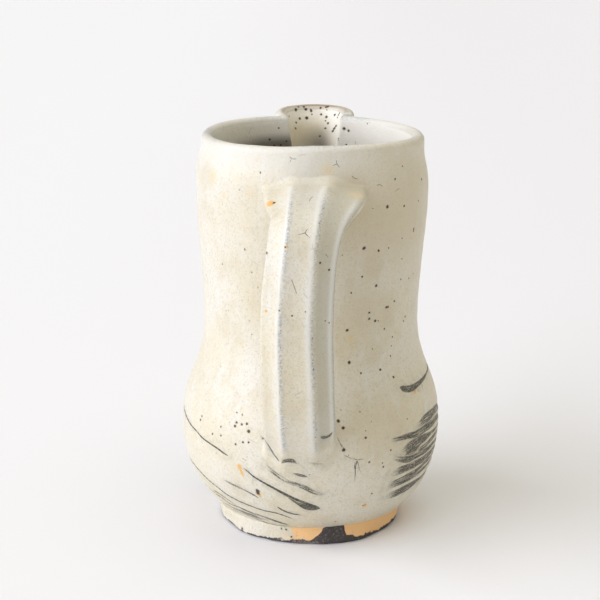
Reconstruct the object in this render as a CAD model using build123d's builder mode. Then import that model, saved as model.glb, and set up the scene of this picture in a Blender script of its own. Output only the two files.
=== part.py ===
from build123d import *
import os
from math import cos, radians, sin, sqrt

# A thrown stoneware pitcher: a waisted jug on a turned foot ring, with a pulled strap
# handle towards -Y and an added pouring spout towards +Y. Millimetres and degrees, +Z up.
# The origin is the centre of the foot, on the surface that the pitcher stands on.

# Foot ring
FOOT_RADIUS = 42.6
FOOT_HEIGHT = 8.0
FOOT_WIDTH = 9.0
FOOT_SPLAY = 1.2
FOOT_EDGE = 1.5

# Thrown wall, by the radius and the height of each place where it stands upright
WALL = 5.5
FLOOR = 6.0
FLOOR_RADIUS = 30.0
BELLY_RADIUS = 59.4
BELLY_HEIGHT = 46.0
BELLY_RISE_ANGLE = 25.0
BELLY_RISE_LENGTH = 7.2
WAIST_RADIUS = 49.0
WAIST_HEIGHT = 95.0
SHOULDER_RADIUS = 51.9
SHOULDER_HEIGHT = 155.0
RIM_HEIGHT = 180.0
LIP_RADIUS = 47.8
LIP_THICKNESS = 5.0
CURVE_SHARE = 0.45

# Spout: a funnel that grows out of the neck and opens at the top
SPOUT_RADIUS = 19.0
SPOUT_REACH = 25.5
SPOUT_RISE = 2.0
SPOUT_WALL = 4.0
SPOUT_DROP = 72.0
SPOUT_THROAT_RADIUS = 15.5
SPOUT_THROAT_REACH = 9.0
SPOUT_THROAT_DROP = 28.0
SPOUT_TIP_RADIUS = 7.0
CHANNEL_TIP_RADIUS = 4.0
CHANNEL_DROP = 60.0

# Handle: a faceted strap between two flared roots
HANDLE_SKEW = 4.2
HANDLE_DROP = 19.0
HANDLE_FOOT_HEIGHT = 50.0
HANDLE_KNEE_HEIGHT = 78.0
HANDLE_UPPER_BEND = 19.0
HANDLE_LOWER_BEND = 34.0
GRIP_GAP = 30.0
STRAP_WIDTH = 30.0
STRAP_THICKNESS = 11.0
STRAP_FACET = 12.6
STRAP_BEVEL = 4.0
STRAP_UNDERCUT = 3.0
ROOT_LENGTH = 11.0
ROOT_NECK_GROWTH = 1.15
ROOT_WIDTH = 48.0
ROOT_THICKNESS = 24.0
ROOT_BITE = 3.0

# Places worked out from the sizes above, as (radius, height)
foot_joint = (FOOT_RADIUS + FOOT_SPLAY, FOOT_HEIGHT)
floor_top = FOOT_HEIGHT + FLOOR
lip_outer = (LIP_RADIUS + LIP_THICKNESS / 2, RIM_HEIGHT - LIP_THICKNESS / 2)
lip_inner = (LIP_RADIUS - LIP_THICKNESS / 2, RIM_HEIGHT - LIP_THICKNESS / 2)
spout_top = RIM_HEIGHT + SPOUT_RISE
spout_center = lip_outer[0] + SPOUT_REACH - SPOUT_RADIUS
throat_center = SHOULDER_RADIUS + SPOUT_THROAT_REACH - SPOUT_THROAT_RADIUS


def s_curve(lower, upper):
    """One span of the wall between two (radius, height) places, upright at both ends."""
    pull = (upper[1] - lower[1]) * CURVE_SHARE
    Bezier(lower, (lower[0], lower[1] + pull), (upper[0], upper[1] - pull), upper)


def wall_line(inset, lip):
    """The wall's line from the belly up to the lip, inset from the outside."""
    belly = (BELLY_RADIUS - inset, BELLY_HEIGHT)
    waist = (WAIST_RADIUS - inset, WAIST_HEIGHT)
    shoulder = (SHOULDER_RADIUS - inset, SHOULDER_HEIGHT)
    s_curve(belly, waist)
    s_curve(waist, shoulder)
    s_curve(shoulder, lip)


def outer_line():
    """The outside of the wall, from the joint with the foot up to the lip."""
    rise = radians(BELLY_RISE_ANGLE)
    leave = (
        foot_joint[0] + BELLY_RISE_LENGTH * cos(rise),
        foot_joint[1] + BELLY_RISE_LENGTH * sin(rise),
    )
    pull = (BELLY_HEIGHT - FOOT_HEIGHT) * CURVE_SHARE
    arrive = (BELLY_RADIUS, BELLY_HEIGHT - pull)
    Bezier(foot_joint, leave, arrive, (BELLY_RADIUS, BELLY_HEIGHT))
    wall_line(0, lip_outer)


def inner_line():
    """The inside of the wall, from the edge of the flat floor up to the lip."""
    belly = (BELLY_RADIUS - WALL, BELLY_HEIGHT)
    leave = (FLOOR_RADIUS + (belly[0] - FLOOR_RADIUS) / 2, floor_top)
    arrive = (belly[0], BELLY_HEIGHT - (BELLY_HEIGHT - floor_top) * CURVE_SHARE)
    Bezier((FLOOR_RADIUS, floor_top), leave, arrive, belly)
    wall_line(WALL, lip_inner)


def strap_outline(width, thickness):
    """The strap's section, outer side up: a flat face between two slanted facets."""
    wide = width / STRAP_WIDTH
    deep = thickness / STRAP_THICKNESS
    ridge = STRAP_FACET / 2 * wide
    under = width / 2 - STRAP_UNDERCUT * wide
    edge_height = thickness / 2 - STRAP_BEVEL * deep
    Polygon(
        (-ridge, thickness / 2),
        (-width / 2, edge_height),
        (-under, -thickness / 2),
        (under, -thickness / 2),
        (width / 2, edge_height),
        (ridge, thickness / 2),
        align=None,
    )


# Everything inside the outer face of the wall, which trims what is luted onto it
with BuildPart() as wall_envelope:
    with BuildSketch(Plane.XZ):
        with BuildLine():
            outer_line()
            Polyline(
                lip_outer,
                (lip_outer[0], spout_top + SPOUT_WALL),
                (0, spout_top + SPOUT_WALL),
                (0, FOOT_HEIGHT),
                foot_joint,
            )
        make_face()
    revolve(axis=Axis.Z)

# The pouring channel: the hollow of the spout, which opens through the wall of the neck
with BuildPart() as pouring_channel:
    with BuildSketch(Plane.XY.offset(spout_top - CHANNEL_DROP)):
        with Locations((0, WAIST_RADIUS - WALL - CHANNEL_TIP_RADIUS)):
            Circle(CHANNEL_TIP_RADIUS)
    with BuildSketch(Plane.XY.offset(spout_top - SPOUT_THROAT_DROP)):
        with Locations((0, throat_center)):
            Circle(SPOUT_THROAT_RADIUS - SPOUT_WALL)
    with BuildSketch(Plane.XY.offset(spout_top)):
        with Locations((0, spout_center)):
            Circle(SPOUT_RADIUS - SPOUT_WALL)
    loft()
    extrude(pouring_channel.faces().sort_by(Axis.Z)[-1], amount=SPOUT_WALL)

os.makedirs("parts", exist_ok=True)

# Foot ring: the turned ring of bare clay under the pitcher
with BuildPart() as foot_ring:
    with BuildSketch(Plane.XZ) as foot_section:
        Polygon(
            (FOOT_RADIUS - FOOT_WIDTH, 0),
            (FOOT_RADIUS, 0),
            foot_joint,
            (FOOT_RADIUS - FOOT_WIDTH, FOOT_HEIGHT),
            align=None,
        )
        fillet(foot_section.vertices().group_by(Axis.Y)[0], FOOT_EDGE)
    revolve(axis=Axis.Z)
foot_ring.part.label = "foot_ring"
export_step(foot_ring.part, "parts/foot_ring.step")

# Thrown body: floor, belly, waist, neck and rolled lip in one wall, notched for the spout
with BuildPart() as thrown_body:
    with BuildSketch(Plane.XZ):
        with BuildLine():
            outer_line()
            ThreePointArc(lip_outer, (LIP_RADIUS, RIM_HEIGHT), lip_inner)
            inner_line()
            Polyline(
                (FLOOR_RADIUS, floor_top),
                (0, floor_top),
                (0, FOOT_HEIGHT),
                foot_joint,
            )
        make_face()
    revolve(axis=Axis.Z)
    add(pouring_channel.part, mode=Mode.SUBTRACT)
thrown_body.part.label = "thrown_body"
export_step(thrown_body.part, "parts/thrown_body.step")

# Spout: a funnel wall around the channel, trimmed to the outside of the neck
with BuildPart() as spout:
    with BuildSketch(Plane.XY.offset(spout_top - SPOUT_DROP)):
        with Locations((0, WAIST_RADIUS - SPOUT_TIP_RADIUS)):
            Circle(SPOUT_TIP_RADIUS)
    with BuildSketch(Plane.XY.offset(spout_top - SPOUT_THROAT_DROP)):
        with Locations((0, throat_center)):
            Circle(SPOUT_THROAT_RADIUS)
    with BuildSketch(Plane.XY.offset(spout_top)):
        with Locations((0, spout_center)):
            Circle(SPOUT_RADIUS)
    loft()
    add(pouring_channel.part, mode=Mode.SUBTRACT)
    add(wall_envelope.part, mode=Mode.SUBTRACT)
spout.part.label = "spout"
export_step(spout.part, "parts/spout.step")

# The handle's own plane: its x runs out from the axis of the pot, its y is up
outward = Vector(-sin(radians(HANDLE_SKEW)), -cos(radians(HANDLE_SKEW)), 0)
handle_plane = Plane(origin=(0, 0, 0), x_dir=outward, z_dir=outward.cross(Vector(0, 0, 1)))
across = -handle_plane.z_dir

# The strap's route, as (distance from the axis, height)
strap_reach = WAIST_RADIUS + GRIP_GAP + STRAP_THICKNESS / 2
upper_root_height = RIM_HEIGHT - HANDLE_DROP
upper_end = (SHOULDER_RADIUS + ROOT_LENGTH, upper_root_height)
knee = (strap_reach, HANDLE_KNEE_HEIGHT)
lower_run = (Vector(knee) - Vector(BELLY_RADIUS, HANDLE_FOOT_HEIGHT)).normalized()
lower_end = (
    BELLY_RADIUS + ROOT_LENGTH * lower_run.X,
    HANDLE_FOOT_HEIGHT + ROOT_LENGTH * lower_run.Y,
)

# A root's wide end lies behind the face of the wall, so that its full width meets the wall
shoulder_sink = ROOT_BITE + SHOULDER_RADIUS - sqrt(SHOULDER_RADIUS**2 - (ROOT_WIDTH / 2) ** 2)
belly_sink = ROOT_BITE + BELLY_RADIUS - sqrt(BELLY_RADIUS**2 - (ROOT_WIDTH / 2) ** 2)

# Handle strap: one faceted section swept down the route
with BuildPart() as handle_strap:
    with BuildLine(handle_plane) as strap_route:
        FilletPolyline(
            upper_end,
            (strap_reach, upper_root_height),
            knee,
            lower_end,
            radius=[HANDLE_UPPER_BEND, HANDLE_LOWER_BEND],
        )
    strap_start = Plane(strap_route.line @ 0, x_dir=across, z_dir=strap_route.line % 0)
    strap_finish = Plane(strap_route.line @ 1, x_dir=across, z_dir=strap_route.line % 1)
    with BuildSketch(strap_start):
        strap_outline(STRAP_WIDTH, STRAP_THICKNESS)
    sweep()
handle_strap.part.label = "handle_strap"
export_step(handle_strap.part, "parts/handle_strap.step")

# Upper root: flares from the strap onto the neck
with BuildPart() as handle_upper_root:
    with BuildSketch(strap_start):
        strap_outline(STRAP_WIDTH, STRAP_THICKNESS)
    with BuildSketch(strap_start.offset(-ROOT_LENGTH / 2)):
        strap_outline(STRAP_WIDTH * ROOT_NECK_GROWTH, STRAP_THICKNESS * ROOT_NECK_GROWTH)
    with BuildSketch(strap_start.offset(-ROOT_LENGTH - shoulder_sink)):
        strap_outline(ROOT_WIDTH, ROOT_THICKNESS)
    loft()
    add(wall_envelope.part, mode=Mode.SUBTRACT)
handle_upper_root.part.label = "handle_upper_root"
export_step(handle_upper_root.part, "parts/handle_upper_root.step")

# Lower root: flares from the strap onto the belly, turning towards the wall as it widens
belly_seat = Plane(
    handle_plane.from_local_coords((BELLY_RADIUS - belly_sink, HANDLE_FOOT_HEIGHT)),
    x_dir=across,
    z_dir=strap_finish.z_dir - outward,
)
with BuildPart() as handle_lower_root:
    with BuildSketch(strap_finish):
        strap_outline(STRAP_WIDTH, STRAP_THICKNESS)
    with BuildSketch(strap_finish.offset(ROOT_LENGTH / 2)):
        strap_outline(STRAP_WIDTH * ROOT_NECK_GROWTH, STRAP_THICKNESS * ROOT_NECK_GROWTH)
    with BuildSketch(belly_seat):
        strap_outline(ROOT_WIDTH, ROOT_THICKNESS)
    loft()
    add(wall_envelope.part, mode=Mode.SUBTRACT)
handle_lower_root.part.label = "handle_lower_root"
export_step(handle_lower_root.part, "parts/handle_lower_root.step")
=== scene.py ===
# A thrown stoneware pitcher with a faceted strap handle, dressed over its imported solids.
# Metres in the scene, millimetres in the sizes below, +Z up, spout towards +Y, handle towards -Y.
from itertools import product
from math import asin, cos, degrees, pi, radians, sin

import bmesh
import bpy
import numpy as np
from mathutils import Matrix, Vector
from mathutils.bvhtree import BVHTree


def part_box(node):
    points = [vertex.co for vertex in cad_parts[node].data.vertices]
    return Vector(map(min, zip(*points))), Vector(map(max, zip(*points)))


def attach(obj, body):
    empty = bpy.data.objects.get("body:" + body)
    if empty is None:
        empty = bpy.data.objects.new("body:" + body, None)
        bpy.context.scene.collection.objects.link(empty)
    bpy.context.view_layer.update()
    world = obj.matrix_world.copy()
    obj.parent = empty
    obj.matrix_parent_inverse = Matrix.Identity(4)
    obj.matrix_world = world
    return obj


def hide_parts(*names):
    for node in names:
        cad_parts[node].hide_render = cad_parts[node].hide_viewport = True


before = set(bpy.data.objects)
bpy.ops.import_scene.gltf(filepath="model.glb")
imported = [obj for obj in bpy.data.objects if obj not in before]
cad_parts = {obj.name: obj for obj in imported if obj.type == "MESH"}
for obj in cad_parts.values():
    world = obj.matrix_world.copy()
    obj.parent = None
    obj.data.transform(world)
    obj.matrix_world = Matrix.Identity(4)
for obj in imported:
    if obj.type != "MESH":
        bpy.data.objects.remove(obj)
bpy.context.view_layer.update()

MM = 0.001


def node_box(node):
    """A node's lowest and highest corners in millimetres."""
    low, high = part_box(node)
    return np.array(low) / MM, np.array(high) / MM


# Sizes read from the frame
FOOT_JOINT_RADIUS = node_box("foot_ring")[1][0]
FOOT_HEIGHT = node_box("foot_ring")[1][2]
BELLY_RADIUS = node_box("thrown_body")[1][0]
RIM_HEIGHT = node_box("thrown_body")[1][2]
SPOUT_TOP = node_box("spout")[1][2]
SPOUT_TIP = node_box("spout")[1][1]
SPOUT_RADIUS = node_box("spout")[1][0]

# Thrown wall, by the radius and the height of each place where it stands upright
FOOT_WIDTH = 9.0
FOOT_SPLAY = 1.2
FOOT_EDGE = 1.3
WALL = 5.5
FLOOR = 6.0
FLOOR_RADIUS = 30.0
FLOOR_LIFT = 0.2
BELLY_HEIGHT = 46.0
BELLY_RISE_ANGLE = 46.0
BELLY_RISE_LENGTH = 9.0
BELLY_FULLNESS = 0.55
CREASE_PINCH = 0.9
WAIST_RADIUS = 49.0
WAIST_HEIGHT = 95.0
SHOULDER_RADIUS = 52.0
SHOULDER_HEIGHT = 159.0
LIP_RADIUS = 47.3
LIP_THICKNESS = 5.0
CURVE_SHARE = 0.45

# How the belly meets the foot: the height of the crease at bearings from the handle, in degrees
CREASE_HEIGHTS = ((-180, 7.5), (-90, 7.0), (-65, 7.5), (-45, 8.0), (-15, 7.7), (15, 8.3), (45, 8.0),
                  (70, 7.4), (110, 7.4), (180, 7.5))
# How far the foot's lower edge stands out at bearings from the handle
FOOT_BULGES = ((-180, 0.0), (-120, 0.0), (-95, -0.6), (-78, -1.2), (-58, -1.4), (-46, -0.2), (-25, 0.2),
               (0, 0.6), (14, 1.7), (24, 1.9), (34, 1.6), (44, 0.5), (60, 0.0), (180, 0.0))
BELLY_LEAN = 1.0
BELLY_LEAN_HEIGHT = 13.0
BELLY_LEAN_REACH = 10.0
LEAN_BLEND = 5.0
TOP_LEAN = -0.6
TOP_LEAN_HEIGHT = 167.0
TOP_LEAN_REACH = 9.0
FOOT_SHIFT = -0.5
CREASE_BLEND = 4.0
OVAL = 0.003
OVAL_TURN = 0.6
OVAL_HEIGHTS = (20, 60)

# Unevenness of hand-made clay: layers of noise, as (height, size of the lumps, seed)
WALL_WAVES = ((0.42, 34.0, 11), (0.16, 13.0, 12), (0.05, 4.0, 14))
RING_WANDER = ((2.0, 40.0, 13),)
HANDLE_WAVES = ((0.30, 26.0, 21), (0.12, 9.0, 22), (0.05, 3.5, 23))
FOOT_WAVES = ((0.28, 7.0, 31), (0.16, 2.6, 32))
RING_DEPTH = 0.03
RING_SPACING = 1.45
# Slow waves of the rim, as (height, number round the rim, turn)
RIM_WAVES = ((0.45, 2, 1.0), (0.25, 3, 0.4))
# Chips in the foot's lower edge, by the size and the seed of their noise, and the heights over which
# the chips and the bulges of the foot fade out upwards
CHIP_DEPTH = 1.2
CHIP_START = 0.35
CHIP_NOISE = (5.0, 33)
CHIP_HEIGHTS = (3.0, 0.5)
BULGE_HEIGHTS = (7.5, 2.0)
# How uneven the foot is at its crease and under its edge, as a share of its face
UNEVEN_CREASE = 0.1
UNEVEN_UNDER = 0.6
# The smoothed pad of clay under the handle, as (sideways, up)
MOUND_PLACE = (-2.0, 39.0)
MOUND_REACH = (21.0, 13.0)
MOUND_HEIGHT = 1.3
MOUND_FALL = 1.6

# Spout, by the height, the distance from the axis and the radius of three level circles
SPOUT_LEVELS = (SPOUT_TOP - 72.0, SPOUT_TOP - 28.0, SPOUT_TOP)
SPOUT_CENTRES = (42.0, 45.4, SPOUT_TIP - SPOUT_RADIUS)
SPOUT_RADII = (7.0, 15.5, SPOUT_RADIUS)
CHANNEL_LEVELS = (SPOUT_TOP - 60.0, SPOUT_TOP - 28.0, SPOUT_TOP)
# The sides of the pouring channel by height, sideways from the middle, handle seen from outside
CHANNEL_LEFT = ((122, -2.5), (150, -7.6), (160, -8.8), (170, -9.6), (176, -11.0), (182, -12.4))
CHANNEL_RIGHT = ((122, 2.0), (150, 4.6), (160, 7.0), (170, 11.6), (176, 13.4), (182, 14.0))
CHANNEL_CENTRES = (39.5, 45.4, SPOUT_TIP - SPOUT_RADIUS)
SPOUT_SPAN = 24.0
SPOUT_TURN = 0.9
SPOUT_STEEPNESS = 420.0
SPOUT_SOFT = 2.0
CHANNEL_LEFT_SOFT = 0.9
CHANNEL_RIGHT_SOFT = 8.0
SPOUT_EDGE = 1.5
SPOUT_MIDDLE = 4.0
SPOUT_LIFT_START = 140.0
SPOUT_ROUNDNESS = 2.5
# Where the spout's piece ends, outside and in its channel
SPOUT_SEAM = 119.0
CHANNEL_SEAM = 128.0

# Handle: its middle line as (reach, height), rounded at the two inner points
HANDLE_TOP = 160.0
HANDLE_REACH = 84.5
HANDLE_KNEE = 78.0
HANDLE_FOOT = (59.4, 50.0)
HANDLE_UPPER_BEND = 23.5
HANDLE_RISE = 0.8
HANDLE_LEAVE = 18.0
HANDLE_ARRIVE = 4.7
HANDLE_LOWER_BEND = 18.0
STRAP_THICKNESS = 11.0
STRAP_BEVEL = 6.4
STRAP_UNDERCUT = 3.0
FACET_HOLLOW = 0.4
BACK_CROWN = 0.6
RIDGE_ROUNDING = 1.3
BACK_ROUNDING = 2.7
CORNER_PULL = 0.7
EDGE_ROUNDING = 2.0
ROOT_ROUNDING = 0.8
# The strap's edges and ridges, as (share of the way down, sideways place), handle seen from outside
LEFT_EDGE = ((0.0, -20.6), (0.07, -20.4), (0.12, -19.0), (0.16, -18.0), (0.21, -18.3), (0.3, -19.5),
             (0.4, -20.9), (0.53, -21.4), (0.7, -20.9), (1.0, -20.8))
LEFT_RIDGE = ((0.0, -7.8), (0.1, -8.6), (0.2, -9.8), (0.3, -11.4), (0.5, -13.2), (0.7, -12.6),
              (1.0, -11.0))
RIGHT_RIDGE = ((0.0, 7.6), (0.11, 5.0), (0.19, 3.3), (0.28, 1.4), (0.38, 0.4), (0.5, 0.0), (0.7, 1.2),
               (1.0, 2.6))
RIGHT_EDGE = ((0.0, 23.4), (0.05, 23), (0.1, 20.8), (0.155, 17.4), (0.2, 14.7), (0.25, 12.5), (0.3, 11.2),
              (0.4, 10.2), (0.5, 9.6), (0.7, 10.3), (1.0, 12))
ROOT_LENGTH = 14.0
ROOT_RUN = 5.0
# How far the seats of the roots spread on the wall, as (direction, spread), seen from outside:
# 0 right, 90 up and 180 left
UPPER_SPREAD = ((-180, 3.5), (-135, 2.0), (-90, 3.0), (-45, 1.2), (0, 1.2), (30, 3.0), (60, 5.0),
                (90, 4.5), (120, 5.0), (150, 5.0), (180, 3.5))
LOWER_SPREAD = ((-180, 3.0), (-90, 9.0), (0, 6.0), (90, 4.0), (180, 3.0))
ROOT_LEAD = 1.05
ROOT_SINK = 0.35
ROOT_ROUNDNESS = 0.7
ROOT_FLATNESS = 0.4
# The shares of the way down over which the edges get rounder and the facets flatter towards a root
ROOT_ROUND_SHARES = (0.24, 0.08)
ROOT_FLAT_SHARES = (0.18, 0.02)
RAIL_LENGTH = 45.0
RAIL_HALVINGS = 40
# The seat gets round where it spreads downwards, and is closed inside the wall, at its edge and its middle
ROUND_SEAT_SLOPES = (0.2, -0.4)
SEAT_DEPTH = 2.0
SEAT_MIDDLE_DEPTH = 3.0
SEAT_CLOSING = (0.5, 0.02)

# Mesh steps
BELLY_STEP = 0.8
WAIST_STEP = 1.2
NECK_STEP = 1.5
INNER_TOP_STEP = 1.6
INNER_STEP = 6.0
FRONT_COLUMNS = 272
BACK_COLUMNS = 82
FRONT_SPAN = 105.0
SPOUT_SIDE_COLUMNS = 20
SPOUT_LIP_COLUMNS = 80
LIP_ROWS = 10
STRAP_STEP = 0.9
STRAP_POINTS = 112
STRAP_DIVISORS = (6, 6, 9, 4, 9)
FACET_POINTS = 24
CORNER_POINTS = 13
ROOT_ROWS = 7
ROOT_BEND_ROWS = 18
FOOT_FACE_ROWS = 15
FOOT_EDGE_ROWS = 6
FOOT_OUTER_ROWS = FOOT_FACE_ROWS + FOOT_EDGE_ROWS
SPOUT_SAMPLES = 961
FINE_ROWS_TOP = 62.0
INNER_FINE_ROWS_LOW = 148.0
POLE_RADIUS = 0.4
UNDERSIDE_RADIUS = 16.0
SHARP_ANGLE = 58.0
NOISE_CELLS = 32

# Camera, fitted to the rim and the foot of the pitcher in a square frame of 600 pixels
FRAME_PIXELS = 600
VIEW_FOCAL = 1610.0
VIEW_DISTANCE = 713.5
VIEW_HEIGHT = 288.6
VIEW_PITCH = 14.66
VIEW_TURN = -0.42
VIEW_ROLL = 0.366
SENSOR = 36.0

# The studio: its floor in metres, and four very large soft lights as (name, colour, strength, spread,
# height, heading), with the angles in degrees and the heading from +X towards +Y
FLOOR_SIZE = 14.0
WORLD_LIGHT = 0.12
KEY_COLOUR = (1.0, 1.025, 1.19)
FILL_COLOUR = (1.0, 0.97, 0.89)
SIDE_COLOUR = (1.0, 0.95, 0.85)
LIGHTS = (
    ("key", KEY_COLOUR, 3.85, 80.0, 15.0, 22.0),
    ("back_fill", FILL_COLOUR, 1.15, 110.0, 60.0, 215.0),
    ("top_fill", FILL_COLOUR, 0.55, 60.0, 80.0, 90.0),
    ("side_fill", SIDE_COLOUR, 0.28, 100.0, 42.0, 158.0),
)

# Colours, as linear red, green and blue
CREAM = (0.725, 0.66, 0.49)
PALE = (0.75, 0.71, 0.59)
TAN = (0.63, 0.545, 0.37)
YELLOW_TAN = (0.71, 0.615, 0.40)
# Milky glaze, also laid on as painted light near the rim and as painted highlights beside the strap's ridges
MILK_AND_PAINTED_LIGHT = (0.77, 0.755, 0.68)
GREY_BLUE = (0.36, 0.39, 0.41)
# Grey-olive of grainy and thin glaze, also laid on as painted shade
GREY_OLIVE_AND_PAINTED_SHADE = (0.42, 0.405, 0.31)
STROKE_DARK = (0.032, 0.032, 0.026)
STROKE_GREY = (0.100, 0.096, 0.075)
CRACK_DARK = (0.09, 0.075, 0.055)
IRON = (0.040, 0.028, 0.018)
IRON_HALO = (0.30, 0.19, 0.08)
RUST = (0.78, 0.40, 0.07)
RUST_HALO = (0.78, 0.56, 0.22)
LIP_BROWN = (0.25, 0.15, 0.07)
FLASH = (0.96, 0.57, 0.23)
# Bare clay, also the colour of the painted contact shadow along the foot's lower left edge
BARE_CLAY_AND_SHADOW = (0.07, 0.06, 0.055)
BARE_PALE = (0.20, 0.17, 0.15)
# The floor's white, with painted shade darkening it towards the right
FLOOR_LEFT = (0.90, 0.895, 0.88)
FLOOR_RIGHT_PAINTED_SHADE = (0.845, 0.835, 0.82)
# Painted light on the upper inside of the mouth, and painted shade deeper in it and at its left
INSIDE_PAINTED_LIGHT = (0.95, 0.91, 0.78)
INSIDE_PAINTED_SHADE = (0.07, 0.06, 0.042)

# Broad tan patches of thinner glaze, as (bearing, height, reach in bearing, reach in height, strength)
TAN_PATCHES = ((45, 150, 40, 26, 0.75), (28, 108, 16, 18, 0.5), (35, 55, 24, 16, 0.5),
               (-150, 120, 40, 40, 0.5), (120, 70, 40, 30, 0.5), (19, 165, 13, 9, 0.8))
# Painted shade in the hollow above the handle's upper root: its place and its reach, as (sideways, up)
VALLEY_PLACE = (-2.0, 171.0)
VALLEY_REACH = (9.0, 4.0)
VALLEY_PAINTED_SHADE = 0.4
# The bare edge of the foot, which along the left also stands for painted contact shadow: how high it reaches
# at bearings from the handle, in degrees
BARE_AND_SHADOW_HEIGHTS = ((-180, 1.6), (-110, 1.2), (-60, 0.9), (-30, 1.4), (-14, 1.8), (-6, 2.4), (2, 2.8),
                (5, 4.6), (8, 7.2), (12, 8.6), (17, 9.4), (21, 9.0), (22.5, 5.0), (24, 3.4), (30, 2.6),
                (44, 2.2), (66, 2.2), (100, 1.8), (140, 2.4), (180, 1.6))
# How far the foot is flashed orange at bearings from the handle
FLASH_SHARES = ((-180, 0.5), (-140, 0.1), (-60, 0.0), (-16, 0.0), (-12, 0.3), (-8, 0.7), (-4, 1.0),
                (70, 1.0), (95, 0.5), (120, 0.2), (150, 0.8), (180, 0.5))
# Depths below the rim between which the colour changes: paler glaze with painted light outside, then inside
# the mouth the channel, the even lower wall under painted shade, the painted light higher up, the painted
# shade at the left and the painted shade in the hollow of the channel
RIM_PALE_AND_LIGHT_DEPTHS = (17, 4)
CHANNEL_DEPTHS = (-2, 10)
LOWER_SHADE_DEPTHS = (19, 40)
INSIDE_LIGHT_DEPTHS = (40, 20)
SHADE_DEPTHS = (6, 13)
HOLLOW_SHADE_DEPTHS = (4, 16)
# Sideways places inside the mouth: the channel's side, the painted shade's edge and its fading end, and the
# painted shade in the hollow
CHANNEL_SIDES = (15, 4)
SHADE_SIDES = (-2, -6)
SHADE_FADE = (-44, -22)
HOLLOW_SHADE_PLACE = 4.0
HOLLOW_SHADE_REACH = 8.0
# The bearings over which the pale rim and its painted light give way to tan on the shaded right, and then
# come back
TAN_RIM_START = (8, 35)
TAN_RIM_END = (120, 80)
# The lip's worn crest and the spout's brown edge, in rows from the crest, and their noise as (size, seed)
CREST_ROWS = 3.0
BROWN_EDGE = 0.8
BROWN_ROWS = 1.4
BROWN_NOISE = (14.0, 41)
CREST_NOISE = (18.0, 42)
BROKEN_LINE = (-0.3, 0.6)
# Worn lines along the strap, as (corner of its section, strength, points past the corner), and the widths
# in points of the worn line and of the painted highlight line before it
WORN_LINES = ((0, 1.0, 0.9), (1, 1.0, 0.9), (2, 0.9, -0.6), (5, 0.4, 0.9))
WORN_WIDTH = 1.3
PAINTED_HIGHLIGHT_WIDTH = 1.8
PAINTED_HIGHLIGHT_OFFSET = 2.7
WORN_NOISE = (16.0, 43)
# Rows past the strap's start and stop over which its worn lines and the painted shade on its facets fade in
# and out
LINES_IN = (-6, 5)
EDGES_IN = (2, 16)
PAINTED_SHADE_IN = (-22, -8)
STRAP_OUT = (4, -10)
# Distances from the wall over which its glaze runs on along the handle
NEAR_WALL = (7, 0.5)
TAN_NEAR_WALL = (18, 3)
# Layers of noise that make the foot's bare and flashed edges wander, as (reach, size, seed)
BARE_RISE = ((0.9, 3.2, 44),)
BARE_WANDER = ((1.8, 2.8, 46),)
FLASH_WANDER = ((4.5, 3.0, 47), (2.0, 1.2, 48))
FLASH_NOISE = (9.0, 45)
BARE_SOFT = 1.2

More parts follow.
